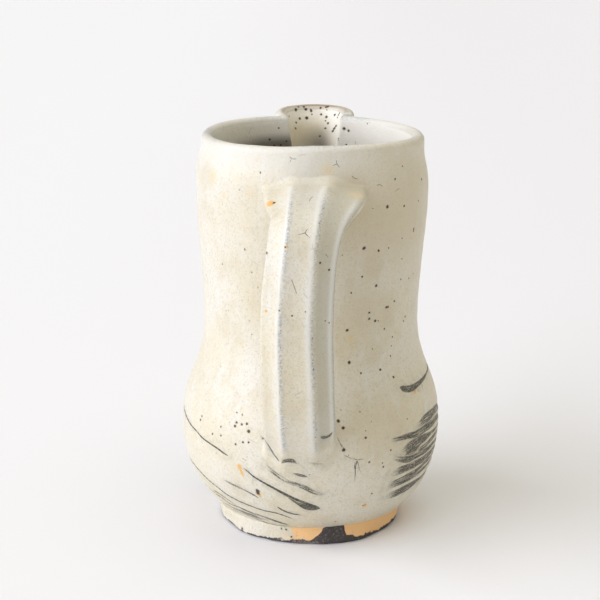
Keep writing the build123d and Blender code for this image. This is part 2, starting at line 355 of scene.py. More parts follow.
# Marks on the clay. Lines and spots are placed by pixels of the square frame and cast onto the clay.
# A stroke is (points, groove depth in mm, grain from solid 0 to broken 1), and each of its points is
# (pixel across, pixel down, half width in mm).
LEFT_STROKES = (
    (((184.6, 396, 0.6), (184.2, 410, 0.6), (186.4, 417, 0.55), (190, 424, 0.48), (196, 431, 0.42),
      (201, 437, 0.42), (208, 442.5, 0.46), (217, 448.5, 0.5), (224, 453.7, 0.46),
      (228.5, 456.3, 0.3)), 0.35, 0.1),
    (((187, 453, 0.7), (193, 463.2, 0.65), (201, 473, 0.6), (207.4, 479.5, 0.56), (217, 487.4, 0.55),
      (227.4, 495.3, 0.55), (239, 501.6, 0.55), (251.6, 506.8, 0.55), (264, 511, 0.55), (275, 513.2, 0.5),
      (285, 516.3, 0.44), (293, 519.3, 0.3)), 0.35, 0.12),
    (((209, 488, 0.7), (215, 493.4, 0.65), (223, 499, 0.55), (231, 504.6, 0.55), (240, 508, 0.62),
      (252, 513.2, 0.75), (262, 516.6, 0.85), (271.6, 520, 1.0), (281, 523.2, 0.9),
      (289, 525.2, 0.5)), 0.3, 0.22),
    (((213.5, 490.2, 0.6), (222.5, 496, 0.5), (231, 502, 0.4), (238, 507, 0.36), (247, 511.6, 0.34),
      (258, 516, 0.28)), 0.15, 0.2),
    (((222, 502, 0.4), (232, 507, 1.0), (242, 511.6, 1.5), (252, 515.4, 1.6), (262, 518.6, 1.2),
      (272, 521.8, 0.7)), 0.1, 0.4),
    (((218, 498.6, 0.5), (225, 503.4, 0.4), (233, 508, 0.34), (242, 512, 0.32), (252, 515.8, 0.32),
      (262, 519, 0.26)), 0.15, 0.2),
    (((225, 505.5, 0.18), (235, 510.6, 0.24), (245, 514.6, 0.28), (256, 518.4, 0.28),
      (266, 521, 0.2)), 0.15, 0.24),
    (((224, 480, 0.45), (230.5, 483.7, 0.65), (238, 487.4, 0.6), (247.4, 492, 0.6), (253.7, 495.3, 0.6),
      (259, 498.4, 0.4)), 0.25, 0.24),
    (((243, 513.8, 0.24), (253.7, 518.2, 0.32), (264, 522, 0.38), (272.6, 525, 0.38), (281, 527.2, 0.32),
      (288, 528.6, 0.24)), 0.2, 0.24),
    (((243.5, 468.4, 0.2), (247.4, 471.6, 0.32), (252.6, 476.3, 0.45), (260, 481, 0.52),
      (269.5, 486.3, 0.62), (280, 492, 0.78), (290.5, 497.4, 0.9), (301, 502, 0.95), (311.6, 505.8, 0.9),
      (320, 508.2, 0.6)), 0.45, 0.08),
    (((262, 462.5, 0.8), (267.4, 467.5, 1.3), (274.7, 473.2, 1.4), (281, 478, 1.3), (288.4, 482.2, 1.2),
      (297, 484.8, 1.2), (305, 487.8, 1.5), (312, 491.4, 1.5), (320, 494, 1.3),
      (329, 494.8, 0.8)), 0.2, 0.42),
    (((288, 498, 0.3), (298, 504, 0.8), (304, 506.8, 1.5), (310, 508.2, 1.8), (315, 508.6, 1.4),
      (320.5, 508.6, 0.7)), 0.3, 0.12),
    (((276.8, 506.4, 0.5), (281, 509.6, 0.65), (287, 512.4, 0.65), (294, 514.4, 0.6),
      (302, 515.4, 0.35)), 0.25, 0.2),
    (((293, 473.4, 0.5), (298, 474.8, 0.8), (303, 476, 0.65), (308, 477.2, 0.5)), 0.25, 0.2),
)
RIGHT_STROKES = (
    (((399.8, 387.2, 1.12), (405.3, 388.9, 1.68), (411.3, 388.4, 1.79), (417.4, 384.4, 1.34),
      (422.2, 380, 1.06), (425.9, 374.6, 0.78), (427.7, 370.4, 0.56)), 0.35, 0.2),
    (((415.5, 427.6, 0.56), (420, 424, 1.68), (425, 419.5, 2.46), (430, 415.2, 2.58), (434, 411, 2.35),
      (437.5, 406.5, 1.9)), 0.35, 0.25),
    (((388, 441, 0.67), (396, 439.5, 1.12), (402, 438, 1.34), (408, 436.2, 1.57), (414, 434.8, 1.79),
      (420, 432, 2.02), (425, 428.7, 2.13), (430, 424.8, 2.13), (434, 420.8, 2.02),
      (437.5, 416, 1.79)), 0.35, 0.25),
    (((398, 456.4, 0.9), (404, 452.2, 2.24), (408, 449.5, 3.36), (414, 446.3, 4.03), (420, 440.8, 2.8),
      (425, 437.5, 2.24), (429.5, 434.2, 1.34), (434, 430.4, 0.9)), 0.35, 0.25),
    (((413, 454.4, 0.56), (417, 451.8, 1.12), (420, 449.4, 1.46), (425, 446, 1.46), (430, 440.8, 1.34),
      (434, 435.6, 1.34), (437, 431, 1.12)), 0.3, 0.25),
    (((392, 458, 0.9), (397, 458.8, 1.34), (402, 459.4, 1.68), (408, 459.4, 1.9), (414, 457.2, 1.68),
      (420, 453.8, 1.57), (425, 451, 1.57), (430, 446.8, 1.46), (434, 442.2, 1.34),
      (436.5, 438.5, 1.12)), 0.3, 0.25),
    (((389, 475.5, 1.12), (396, 472.4, 2.13), (402, 469.8, 2.35), (408, 467.6, 2.13), (414, 464.8, 2.24),
      (420, 461.4, 2.02), (425, 458, 2.24), (430, 453, 1.79), (434, 447.6, 1.57)), 0.3, 0.26),
    (((384, 487.2, 1.01), (390, 484.4, 1.23), (396, 481.6, 1.34), (402, 478.8, 1.34), (408, 475.4, 1.4),
      (414, 472.2, 1.46), (420, 467.8, 1.4), (425, 462.8, 1.34), (430, 457.4, 1.23)), 0.3, 0.25),
    (((384, 490.4, 1.01), (390, 487.6, 1.12), (396, 484.9, 1.29), (402, 482.4, 1.29), (408, 479.4, 1.46),
      (414, 476, 1.4), (420, 471.8, 1.29), (425, 467, 1.12)), 0.3, 0.25),
    (((384.5, 497.2, 1.34), (390, 495.2, 2.35), (396, 493.3, 2.8), (402, 490.2, 2.91), (408, 487, 2.8),
      (414, 483, 2.24), (418.5, 479.5, 1.46)), 0.35, 0.25),
)
HANDLE_STROKES = (
    (((260, 435, 0.2), (266, 442, 0.28), (271, 449.5, 0.32), (275, 454.5, 0.2)), 0.2, 0.2),
    (((263, 438.4, 0.14), (268.5, 446.5, 0.25), (273, 453.5, 0.5), (277, 458.8, 0.55),
      (279.6, 462.2, 0.3)), 0.25, 0.18),
    (((281, 463.4, 0.4), (285.5, 461.6, 1.3), (290, 460.8, 1.9), (294, 462.4, 1.2),
      (297, 464, 0.4)), 0.5, 0.22),
    (((307.4, 467.6, 0.6), (309.6, 463.6, 0.8), (315.8, 464.4, 1.0), (324.5, 464.2, 0.7)), 0.3, 0.32),
    (((310.5, 458.6, 0.3), (309.2, 463, 0.6), (308, 467, 0.4)), 0.2, 0.38),
    (((320.5, 436.6, 0.6), (325, 437.6, 1.1), (328.5, 436.6, 1.2), (333, 431.6, 0.5)), 0.3, 0.22),
)
# How far each group is turned round the pot, in degrees, for the part that is seen and for one behind
LEFT_TURNS = (0, -118)
RIGHT_TURNS = (0, 65)
# Fine cracks in the glaze, each as the pixel where its short arms meet and the arms' ends
CRACKS = (
    ((292, 159), (289, 156), (289, 163), (297, 159)),
    ((337, 164), (336, 159), (332, 166), (340, 168)),
    ((305, 233), (308, 228), (298, 235), (310, 238)),
    ((310.5, 198.5), (313.3, 196), (309, 202)),
    ((354, 178), (351, 175), (359, 179.5)),
    ((380, 184.6), (376, 185.4), (383.5, 187)),
    ((372.5, 208.5), (371, 207), (375, 209)),
    ((293.5, 284.5), (291.3, 279), (297, 294.5)),
    ((327.5, 256.5), (325, 253.5), (329, 258.6)),
    ((397, 190), (395, 191.5), (400, 188)),
    ((396, 204), (397, 200), (395, 206)),
    ((348, 457), (344, 455), (352, 459), (349, 454)),
    ((357, 460), (352, 458), (364, 459), (360.5, 472)),
    ((340, 443), (337, 437), (345, 450), (342, 448)),
    ((355, 464), (354, 470), (356, 478), (355, 482)),
    ((422, 384), (421, 382), (423, 391)),
    ((244, 459.5), (242, 457.5), (247, 461)),
)
CRACK_HALF_WIDTH = 0.15
CRACK_DEPTH = 0.06
CRACK_OVERLAP = 0.15
# Strokes that reach past the first bearing run on round the pot for the second, in degrees, and rise by
# no more than this many millimetres in a radian
RUN_ON_BEARING = 64.0
RUN_ON_TURN = 28.0
RUN_ON_SLOPE = 18.0
RUN_ON_BACK = 8
RUN_ON_POINTS = 40
# Strokes of more than this grain break up towards their ends, over this length, and towards the pot's
# sides, from the first to the second bearing, where the break-up is painted sheen
SOLID_GRAIN = 0.24
FRAYED_LENGTH = 9.0
BROKEN_END = 0.8
SHEEN_BEARINGS = (60.0, 80.0)
SHEEN_BROKEN_SIDE = 0.38
# Side by side, strokes take turns in the layers; a stroke is painted as far as its margin and thins the
# glaze as far as its blur
STROKE_LAYERS = 3
STROKE_MARGIN = 1.4
STROKE_REACH = 6.0
STROKE_TAPER = 2.0
STROKE_BLUR = 2.2
STROKE_TAPER_SHARE = 0.45
STROKE_PAST_END = 0.6
# A groove is flat over this share of its half width, and its sides end this far past its edge
GROOVE_FLAT = 0.3
GROOVE_EDGE = 0.5
LINE_GAP = 1.1
NEAR_SKIN = 4.0
FAR_OFF = 9.0
# What is stored of each layer's nearest stroke, with the values where there is none
LAYER_FIELDS = (("across", FAR_OFF), ("half", -FAR_OFF), ("along", 0.0), ("grain", 0.0))
# Iron specks, as (pixel across, pixel down, radius in mm)
SPECKS = (
    (388.1, 205.9, 0.65), (404.7, 205.2, 0.45), (395.6, 178.2, 0.42), (414.2, 228, 0.5), (414, 230, 0.5),
    (364.9, 247.5, 0.7), (379.5, 249.8, 0.5), (389.3, 247.3, 0.35), (403, 165.4, 0.3),
    (421.8, 178.5, 0.55), (418.8, 200, 0.35), (402.7, 237.4, 0.32), (402.7, 257.8, 0.28),
    (401.4, 278.5, 0.35), (409.3, 277.4, 0.4), (413.8, 273, 0.3), (352.1, 292.1, 0.4),
    (394.8, 300.4, 0.45), (387, 306.4, 0.5), (388.6, 306, 0.4), (405.5, 315.8, 0.4), (403.9, 320, 0.35),
    (343.3, 254.5, 0.28), (239.7, 189, 0.42), (226.4, 190.6, 0.3), (219.8, 207.2, 0.36),
    (218.5, 214.7, 0.36), (215.3, 218.8, 0.34), (204.9, 234.9, 0.34), (212, 232.9, 0.28),
    (219.8, 258.6, 0.32), (208.5, 263.8, 0.32), (219.8, 272.4, 0.34), (224.4, 275.2, 0.38),
    (210.2, 281.8, 0.3), (213.5, 281.8, 0.3), (221, 290.6, 0.38), (242.2, 300, 0.42), (248.3, 299.8, 0.42),
    (226.1, 310, 0.4), (228.6, 310.2, 0.36), (225.9, 314.2, 0.36), (240.7, 309.5, 0.36),
    (235.9, 312.5, 0.32), (211.8, 320.8, 0.3), (214, 305.4, 0.28), (363, 276, 0.45), (377, 285, 0.6),
    (370, 312, 0.45), (370, 318, 0.5), (376, 320, 0.55), (379, 320, 0.3), (348, 329.6, 0.6),
    (350, 361.7, 0.65), (361.7, 372.3, 0.42), (380.8, 369, 0.5), (394, 376.2, 0.52), (344, 427, 0.65),
    (339.2, 420.2, 0.62), (366.5, 437, 0.5), (344.5, 449.2, 0.7), (339.8, 444.2, 0.5), (340, 445.6, 0.5),
    (370.2, 461.4, 0.48), (383.2, 462.3, 0.32), (384, 466.2, 0.38), (391.6, 449.3, 0.4),
    (372.8, 493, 0.42), (364, 505, 0.4), (366, 504, 0.35), (245, 249, 0.5), (252, 272, 0.48),
    (258, 287, 0.42), (222.3, 263.4, 0.42), (249.7, 320.5, 0.42), (252, 334, 0.4), (221, 366, 0.35),
    (280, 310, 0.45), (293, 315, 0.38), (306, 311, 0.35), (275, 202, 0.6), (286, 246, 0.4),
    (267, 252, 0.55), (321, 262, 0.4), (330, 269, 0.48), (202, 415.3, 0.52), (200.5, 419, 0.55),
    (192, 408.4, 0.33), (221, 425.8, 0.52), (212.6, 433.2, 0.55), (221, 434.7, 0.55), (236.8, 421.6, 0.62),
    (235.3, 425.3, 0.62), (242, 423.5, 0.55), (247.4, 422.8, 0.59), (249, 430.5, 0.78),
    (242.6, 413.7, 0.42), (237.4, 411.6, 0.36), (230, 421.3, 0.33), (243.2, 441.6, 0.55),
    (249, 441.6, 0.55), (235.8, 443.5, 0.55), (219.8, 441.6, 0.36), (216.3, 453, 0.36),
    (204.4, 435.8, 0.33), (252.6, 482.6, 0.42), (258, 490.8, 0.98), (258.4, 493, 0.91),
    (303.2, 432.6, 0.28), (288.4, 452, 0.3), (284.2, 400.5, 0.25), (296.3, 109, 0.72),
    (298.8, 106.4, 0.48), (304.3, 106.2, 0.5), (306.5, 108.6, 0.66), (311.6, 109.2, 0.48),
    (312, 110.4, 0.48), (312.6, 113.5, 0.36), (300.3, 118, 0.6), (307.3, 117.3, 0.72), (296.7, 122, 0.48),
    (296, 127.8, 0.5), (289.2, 115.7, 0.42), (288.2, 106.8, 0.48), (321.3, 107, 0.54),
    (326.6, 106.4, 0.54), (328.4, 106, 0.54), (327.2, 109.3, 0.42), (321.7, 113.5, 0.48),
    (326.9, 116, 0.6), (335, 114, 0.58), (339.6, 112.2, 0.48), (338.6, 114, 0.48), (337.6, 116.7, 0.48),
    (342.7, 116.4, 0.5), (326, 119.9, 0.42), (328.5, 122.4, 0.54), (325.8, 127.5, 0.5),
    (336.2, 125.2, 0.6), (334.6, 127.6, 0.72), (333.2, 130.2, 0.66), (344.5, 128.2, 0.74),
    (348.9, 130.2, 0.66), (367.6, 123, 0.42), (320.4, 135.4, 0.5), (338.4, 137.6, 0.42),
    (338.8, 140, 0.42), (346.7, 144.6, 0.6), (335.2, 145.7, 0.36), (279.6, 127.4, 0.42),
    (270.3, 139, 0.54), (275, 145, 0.6), (281.5, 144.6, 0.54), (287.2, 140.9, 0.54), (341.7, 409.2, 0.25),
    (360.8, 411, 0.25), (372.2, 420.8, 0.22), (366.3, 430, 0.25), (407.7, 418, 0.28), (341, 501, 0.3),
    (336.2, 521.2, 0.45), (330, 322, 0.35), (326, 320, 0.3), (385, 328, 0.35), (393, 336, 0.3),
    (392, 345, 0.3), (391, 355, 0.35), (260.8, 171.6, 0.42), (373, 348, 0.25), (242.2, 528.1, 0.7),
    (282, 527.9, 0.5), (286.7, 528.9, 0.55), (297.4, 531.9, 0.45), (297.4, 534.8, 0.45), (292, 536.2, 0.5),
    (304.8, 536.6, 0.4), (353.4, 530.9, 0.4), (375, 518.5, 0.3), (366.4, 518.5, 0.25),
)
# Rust spots and pale orange stains, as (pixel across, pixel down, radius in mm)
RUST_SPOTS = (
    (270.5, 203.3, 1.9), (239.3, 466.4, 1.2), (239.9, 468, 1.0), (241, 471, 0.75), (242, 473.2, 0.9),
    (243, 475.4, 0.5), (259.6, 495.4, 1.0), (266, 311, 0.7), (415, 391.6, 0.8), (418, 390.6, 0.6),
    (287, 247, 0.6), (364.7, 505.3, 1.1),
)
STAINS = (
    (213, 176, 4.2), (224, 196, 2.2), (257, 160, 1.3), (268, 204, 2.4), (350, 338, 2.2), (248, 193, 2.0),
    (222.5, 455, 1.2), (226, 457, 1.2), (196, 160, 3.0), (356, 195, 5.0), (328, 170, 4.0),
)
# A spot that lies this far off the wall is on the handle
HANDLE_CLEARANCE = 2.5


def camera_axes():
    """The camera's right, up and forward directions."""
    pitch = radians(VIEW_PITCH)
    turn = radians(VIEW_TURN)
    roll = radians(VIEW_ROLL)
    ahead = np.array((sin(turn) * cos(pitch), cos(turn) * cos(pitch), -sin(pitch)))
    level = np.array((cos(turn), -sin(turn), 0.0))
    upright = np.cross(level, ahead)
    across = level * cos(roll) + upright * sin(roll)
    up = upright * cos(roll) - level * sin(roll)
    return across, up, ahead


VIEW_PLACE = np.array((0.0, -VIEW_DISTANCE, VIEW_HEIGHT))


def smooth_step(low, high, value):
    """From 0 at low to 1 at high, easing in and out."""
    share = np.clip((np.asarray(value, dtype=float) - low) / (high - low), 0, 1)
    return share * share * (3 - 2 * share)


def bell(value, middle, reach):
    """A smooth hump that is 1 at the middle and falls off over the reach."""
    return np.exp(-((value - middle) / reach) ** 2)


def smooth_max(first, second, soft):
    """The larger of two lengths, rounded off where they are within the soft length."""
    gap = np.clip(0.5 + 0.5 * (first - second) / soft, 0, 1)
    return second + (first - second) * gap + soft * gap * (1 - gap)


def bearing_of(places):
    """Bearings of places round the pot's axis, from the handle towards +X, in radians."""
    return np.arctan2(places[..., 0], -places[..., 1])


def on_circle(radius, bearing, height):
    """Places by their distance from the pot's axis, their bearing and their height."""
    parts = np.broadcast_arrays(radius * np.sin(bearing), -radius * np.cos(bearing), height)
    return np.stack(parts, axis=-1)


def unit(vectors):
    """The same directions with a length of one."""
    return vectors / np.linalg.norm(vectors, axis=-1, keepdims=True)


def toward(place, target, length):
    """The place at a length from one place towards another."""
    return place + unit(target - place) * length


def lattice_noise(places, size, seed):
    """Smooth noise from -1 to 1 at places in millimetres, with lumps of about the given size."""
    table = np.random.default_rng(seed).uniform(-1, 1, (NOISE_CELLS,) * 3)
    scaled = places / size
    cell = np.floor(scaled).astype(int)
    share = scaled - cell
    share = share * share * (3 - 2 * share)
    total = np.zeros(places.shape[:-1])
    for corner in product((0, 1), repeat=3):
        weight = np.ones(places.shape[:-1])
        index = []
        for axis, side in enumerate(corner):
            weight = weight * (share[..., axis] if side else 1 - share[..., axis])
            index.append((cell[..., axis] + side) % NOISE_CELLS)
        total += weight * table[tuple(index)]
    return total


def waves(places, layers):
    """Layers of noise added up, each as (height, size of its lumps, seed)."""
    return sum(height * lattice_noise(places, size, seed) for height, size, seed in layers)


def through(steps, where):
    """A smooth value along a short list of (place, value) steps."""
    places = np.array([step[0] for step in steps], dtype=float)
    values = np.array([step[1] for step in steps], dtype=float)
    where = np.clip(np.asarray(where, dtype=float), places[0], places[-1])
    index = np.clip(np.searchsorted(places, where, side="right") - 1, 0, len(places) - 2)
    slopes = np.gradient(values, places)
    span = places[index + 1] - places[index]
    t = (where - places[index]) / span
    return (
        values[index] * (1 + 2 * t) * (1 - t) ** 2
        + slopes[index] * span * t * (1 - t) ** 2
        + values[index + 1] * t * t * (3 - 2 * t)
        + slopes[index + 1] * span * t * t * (t - 1)
    )


def parabola(levels, values, height):
    """The value at a height on the parabola through three levels."""
    first = (values[1] - values[0]) / (levels[1] - levels[0])
    second = (values[2] - values[1]) / (levels[2] - levels[1])
    bend = (second - first) / (levels[2] - levels[0])
    return values[0] + first * (height - levels[0]) + bend * (height - levels[0]) * (height - levels[1])


def bezier(start, leave, arrive, end, count=60):
    """Points along a cubic curve."""
    t = np.linspace(0, 1, count)[:, None]
    places = [np.array(place, dtype=float) for place in (start, leave, arrive, end)]
    weights = [(1 - t) ** 3, 3 * t * (1 - t) ** 2, 3 * t * t * (1 - t), t ** 3]
    return sum(weight * place for weight, place in zip(weights, places))


def run_lengths(line):
    """How far along a line each of its points lies."""
    return np.concatenate(([0], np.cumsum(np.linalg.norm(np.diff(line, axis=0), axis=1))))


def points_at(line, lengths, wanted):
    """The points at the wanted lengths along a line."""
    return np.stack([np.interp(wanted, lengths, column) for column in line.T], axis=1)


def even_points(line, step):
    """The points of a line set out again at an even step."""
    lengths = run_lengths(line)
    count = max(2, int(round(lengths[-1] / step)) + 1)
    return points_at(line, lengths, np.linspace(0, lengths[-1], count))


def part_even(line, count):
    """A stretch of a line divided evenly, without its last point."""
    lengths = run_lengths(line)
    return points_at(line, lengths, np.linspace(0, lengths[-1], count, endpoint=False))


# The wall's outline, as (radius, height)
floor_top = FOOT_HEIGHT + FLOOR
lip_level = RIM_HEIGHT - LIP_THICKNESS / 2


def upright_span(lower, upper):
    """One span of the wall, upright at both ends."""
    pull = (upper[1] - lower[1]) * CURVE_SHARE
    return bezier(lower, (lower[0], lower[1] + pull), (upper[0], upper[1] - pull), upper)


def wall_line(inset, lip_radius):
    """The wall's line from the belly up to the lip, inset from the outside."""
    belly = (BELLY_RADIUS - inset, BELLY_HEIGHT)
    waist = (WAIST_RADIUS - inset, WAIST_HEIGHT)
    shoulder = (SHOULDER_RADIUS - inset, SHOULDER_HEIGHT)
    spans = [upright_span(belly, waist), upright_span(waist, shoulder)]
    spans.append(upright_span(shoulder, (lip_radius, lip_level)))
    return np.vstack([spans[0], spans[1][1:], spans[2][1:]])


def outer_line():
    """The outside of the wall, from the joint with the foot up to the lip."""
    rise = radians(BELLY_RISE_ANGLE)
    start = (FOOT_JOINT_RADIUS - CREASE_PINCH, FOOT_HEIGHT)
    leave = (start[0] + BELLY_RISE_LENGTH * cos(rise), start[1] + BELLY_RISE_LENGTH * sin(rise))
    arrive = (BELLY_RADIUS, BELLY_HEIGHT - (BELLY_HEIGHT - FOOT_HEIGHT) * BELLY_FULLNESS)
    lower = bezier(start, leave, arrive, (BELLY_RADIUS, BELLY_HEIGHT))
    return np.vstack([lower, wall_line(0, LIP_RADIUS + LIP_THICKNESS / 2)[1:]])


def inner_line():
    """The inside of the wall, from the edge of the flat floor up to the lip."""
    belly = (BELLY_RADIUS - WALL, BELLY_HEIGHT)
    leave = (FLOOR_RADIUS + (belly[0] - FLOOR_RADIUS) / 2, floor_top + FLOOR_LIFT)
    arrive = (belly[0], BELLY_HEIGHT - (BELLY_HEIGHT - floor_top) * CURVE_SHARE)
    lower = bezier((FLOOR_RADIUS, floor_top), leave, arrive, belly)
    return np.vstack([lower, wall_line(WALL, LIP_RADIUS - LIP_THICKNESS / 2)[1:]])


OUTER = outer_line()
INNER = inner_line()


def outer_radius(height):
    """The radius of the wall's outside at a height."""
    return np.interp(height, OUTER[:, 1], OUTER[:, 0])


def wall_bearings():
    """Bearings of the wall's columns from the handle towards +X: front, two back parts, spout."""
    front = np.linspace(-FRONT_SPAN, FRONT_SPAN, FRONT_COLUMNS, endpoint=False)
    half = BACK_COLUMNS // 2
    right = np.linspace(FRONT_SPAN, 180 - SPOUT_SPAN, half, endpoint=False)
    spout = np.linspace(180 - SPOUT_SPAN, 180 + SPOUT_SPAN, SPOUT_COLUMNS, endpoint=False)
    left = np.linspace(180 + SPOUT_SPAN, 360 - FRONT_SPAN, half, endpoint=False)
    return np.radians(np.concatenate((front, right, spout, left)))


SPOUT_COLUMNS = 2 * SPOUT_SIDE_COLUMNS + SPOUT_LIP_COLUMNS
BEARINGS = wall_bearings()
SPOUT_START = FRONT_COLUMNS + BACK_COLUMNS // 2
COLUMNS = len(BEARINGS)
SIGNED_BEARINGS = np.degrees((BEARINGS + pi) % (2 * pi) - pi)


def level_ring(height, radius):
    """A round ring of the wall's columns."""
    return on_circle(radius, BEARINGS, height)


def draw_spout(ring, radius, centre, circle, turn, left_soft, right_soft):
    """Draws the spout's columns of a ring out to the spout's circle, with softened corners on each side."""
    angles = np.radians(np.linspace(-SPOUT_SPAN, SPOUT_SPAN, SPOUT_SAMPLES))
    turned = angles + radians(turn)
    limit = asin(min(circle / centre, 0.99))
    inside = np.abs(turned) <= limit
    chord = np.sqrt(np.maximum(circle ** 2 - (centre * np.sin(turned)) ** 2, 0))
    beyond = centre * cos(limit) - (np.abs(turned) - limit) * SPOUT_STEEPNESS
    far = np.where(inside, centre * np.cos(turned) + chord, beyond)
    side = smooth_step(-SPOUT_MIDDLE, SPOUT_MIDDLE, np.degrees(angles))
    soft = right_soft + (left_soft - right_soft) * side
    drawn = smooth_max(far, np.full(len(angles), radius), soft)
    edge = smooth_step(SPOUT_SPAN, SPOUT_SPAN - SPOUT_EDGE, np.degrees(np.abs(angles)))
    drawn = radius + (drawn - radius) * edge
    line = np.stack((-drawn * np.sin(angles), drawn * np.cos(angles)), axis=1)
    first = int(np.searchsorted(turned, -limit))
    last = int(np.searchsorted(turned, limit))
    parts = [
        part_even(line[: first + 1], SPOUT_SIDE_COLUMNS),
        part_even(line[first: last + 1], SPOUT_LIP_COLUMNS),
        part_even(line[last:], SPOUT_SIDE_COLUMNS),
    ]
    ring[SPOUT_START: SPOUT_START + SPOUT_COLUMNS, :2] = np.vstack(parts)


def drawn_height(height):
    """How high a level of the wall stands where the lip is drawn up into the spout."""
    return height + (SPOUT_TOP - lip_level) * smooth_step(SPOUT_LIFT_START, lip_level, height)


def outer_ring(radius, height):
    """A ring of the outside, with the spout where it has grown out of the neck."""
    ring = level_ring(height, radius)
    if height > SPOUT_LEVELS[0]:
        centre = parabola(SPOUT_LEVELS, SPOUT_CENTRES, drawn_height(height))
        circle = parabola(SPOUT_LEVELS, SPOUT_RADII, drawn_height(height))
        draw_spout(ring, radius, centre, circle, SPOUT_TURN, SPOUT_SOFT, SPOUT_SOFT)
    return ring


def inner_ring(radius, height):
    """A ring of the inside, with the pouring channel."""
    ring = level_ring(height, radius)
    if height > CHANNEL_LEVELS[0]:
        centre = parabola(CHANNEL_LEVELS, CHANNEL_CENTRES, drawn_height(height))
        left = float(through(CHANNEL_LEFT, drawn_height(height)))
        right = float(through(CHANNEL_RIGHT, drawn_height(height)))
        turn = degrees((left + right) / 2 / centre)
        draw_spout(ring, radius, centre, (right - left) / 2, turn, CHANNEL_LEFT_SOFT, CHANNEL_RIGHT_SOFT)
    return ring


def settle_crease(ring, height):
    """Lowers a ring of the lower belly onto the uneven crease above the foot."""
    crease = through(CREASE_HEIGHTS, SIGNED_BEARINGS)
    share = (BELLY_HEIGHT - height) / (BELLY_HEIGHT - FOOT_HEIGHT)
    ring[:, 2] = BELLY_HEIGHT - share * (BELLY_HEIGHT - crease)


def outer_rows():
    """The rings of the outside, from the crease above the foot up to the lip."""
    low = OUTER[OUTER[:, 1] <= FINE_ROWS_TOP]
    middle = OUTER[(OUTER[:, 1] >= low[-1, 1]) & (OUTER[:, 1] <= WAIST_HEIGHT)]
    high = OUTER[OUTER[:, 1] >= middle[-1, 1]]
    line = np.vstack([
        even_points(low, BELLY_STEP),
        even_points(middle, WAIST_STEP)[1:],
        even_points(high, NECK_STEP)[1:],
    ])
    rows = []
    for radius, height in line:
        ring = outer_ring(radius, height)
        if height < BELLY_HEIGHT:
            settle_crease(ring, height)
        rows.append(ring)
    return rows


def inner_rows():
    """The rings of the inside, from the lip down to the middle of the floor."""
    high = INNER[INNER[:, 1] >= INNER_FINE_ROWS_LOW][::-1]
    low = INNER[INNER[:, 1] <= high[-1, 1]][::-1]
    line = np.vstack([even_points(high, INNER_TOP_STEP), even_points(low, INNER_STEP)[1:]])
    rows = [inner_ring(radius, height) for radius, height in line]
    for radius in np.linspace(FLOOR_RADIUS, POLE_RADIUS, 6)[1:]:
        rows.append(level_ring(floor_top, radius))
    return rows


def lip_rows(outside, inside):
    """The rounded lip between the top rings of the outside and the inside."""
    middle = (outside + inside) / 2
    rows = []
    for angle in np.linspace(0, pi, LIP_ROWS + 2)[1:-1]:
        row = middle + (outside - middle) * cos(angle)
        row[:, 2] += LIP_THICKNESS / 2 * sin(angle)
        rows.append(row)
    return rows


def underside_rows(crease):
    """The rings of the hidden seat on the foot and of the ceiling of the foot's hollow."""
    rows = [level_ring(FOOT_HEIGHT, POLE_RADIUS), level_ring(FOOT_HEIGHT, UNDERSIDE_RADIUS)]
    rows.append(level_ring(FOOT_HEIGHT, FOOT_JOINT_RADIUS - FOOT_SPLAY - FOOT_WIDTH))
    rows.append((rows[-1] + crease) / 2)
    return rows


def spout_share():
    """For each column, how far it belongs to the spout, from 0 at its ears to 1 at its tip."""
    share = np.zeros(COLUMNS)
    lip = np.linspace(-1, 1, SPOUT_LIP_COLUMNS)
    start = SPOUT_START + SPOUT_SIDE_COLUMNS
    share[start: start + SPOUT_LIP_COLUMNS] = np.sqrt(np.clip(1 - np.abs(lip) ** SPOUT_ROUNDNESS, 0, 1))
    return share


def hand_of_potter(grid):
    """Leans and warps the turned wall a little, and lifts the rim towards the spout."""
    height = grid[..., 2].copy()
    lean = BELLY_LEAN * bell(height, BELLY_LEAN_HEIGHT, BELLY_LEAN_REACH)
    grid[..., 0] += lean * smooth_step(FOOT_HEIGHT - LEAN_BLEND, FOOT_HEIGHT, height)
    grid[..., 0] += TOP_LEAN * bell(height, TOP_LEAN_HEIGHT, TOP_LEAN_REACH)
    bearing = bearing_of(grid)
    oval = 1 + OVAL * np.cos(2 * bearing + OVAL_TURN) * smooth_step(*OVAL_HEIGHTS, height)
    grid[..., :2] *= oval[..., None]
    wave = sum(rise * np.sin(count * bearing + turn) for rise, count, turn in RIM_WAVES)
    lift = wave * (1 - spout_share()) + (SPOUT_TOP - RIM_HEIGHT) * spout_share()
    grid[..., 2] += smooth_step(SPOUT_LIFT_START, lip_level, height) * lift


def grid_normals(grid):
    """Directions square to the skin at the points of a grid whose columns run round."""
    along = np.roll(grid, -1, axis=1) - np.roll(grid, 1, axis=1)
    normals = np.cross(along, np.gradient(grid, axis=0))
    return normals / np.maximum(np.linalg.norm(normals, axis=-1, keepdims=True), 1e-9)


def hand_unevenness(places):
    """How far the clay stands off its true form: slow dents, fine ripples and throwing rings."""
    turn = places[..., 2] / RING_SPACING + bearing_of(places) + waves(places, RING_WANDER)
    return waves(places, WALL_WAVES) + RING_DEPTH * np.sin(turn)


def mound(places):
    """The smoothed pad of clay on the belly under the handle's lower root."""
    flat = ((places[..., 0] - MOUND_PLACE[0]) / MOUND_REACH[0]) ** 2
    flat += ((places[..., 2] - MOUND_PLACE[1]) / MOUND_REACH[1]) ** 2
    return MOUND_HEIGHT * np.exp(-MOUND_FALL * flat) * (places[..., 1] < 0)


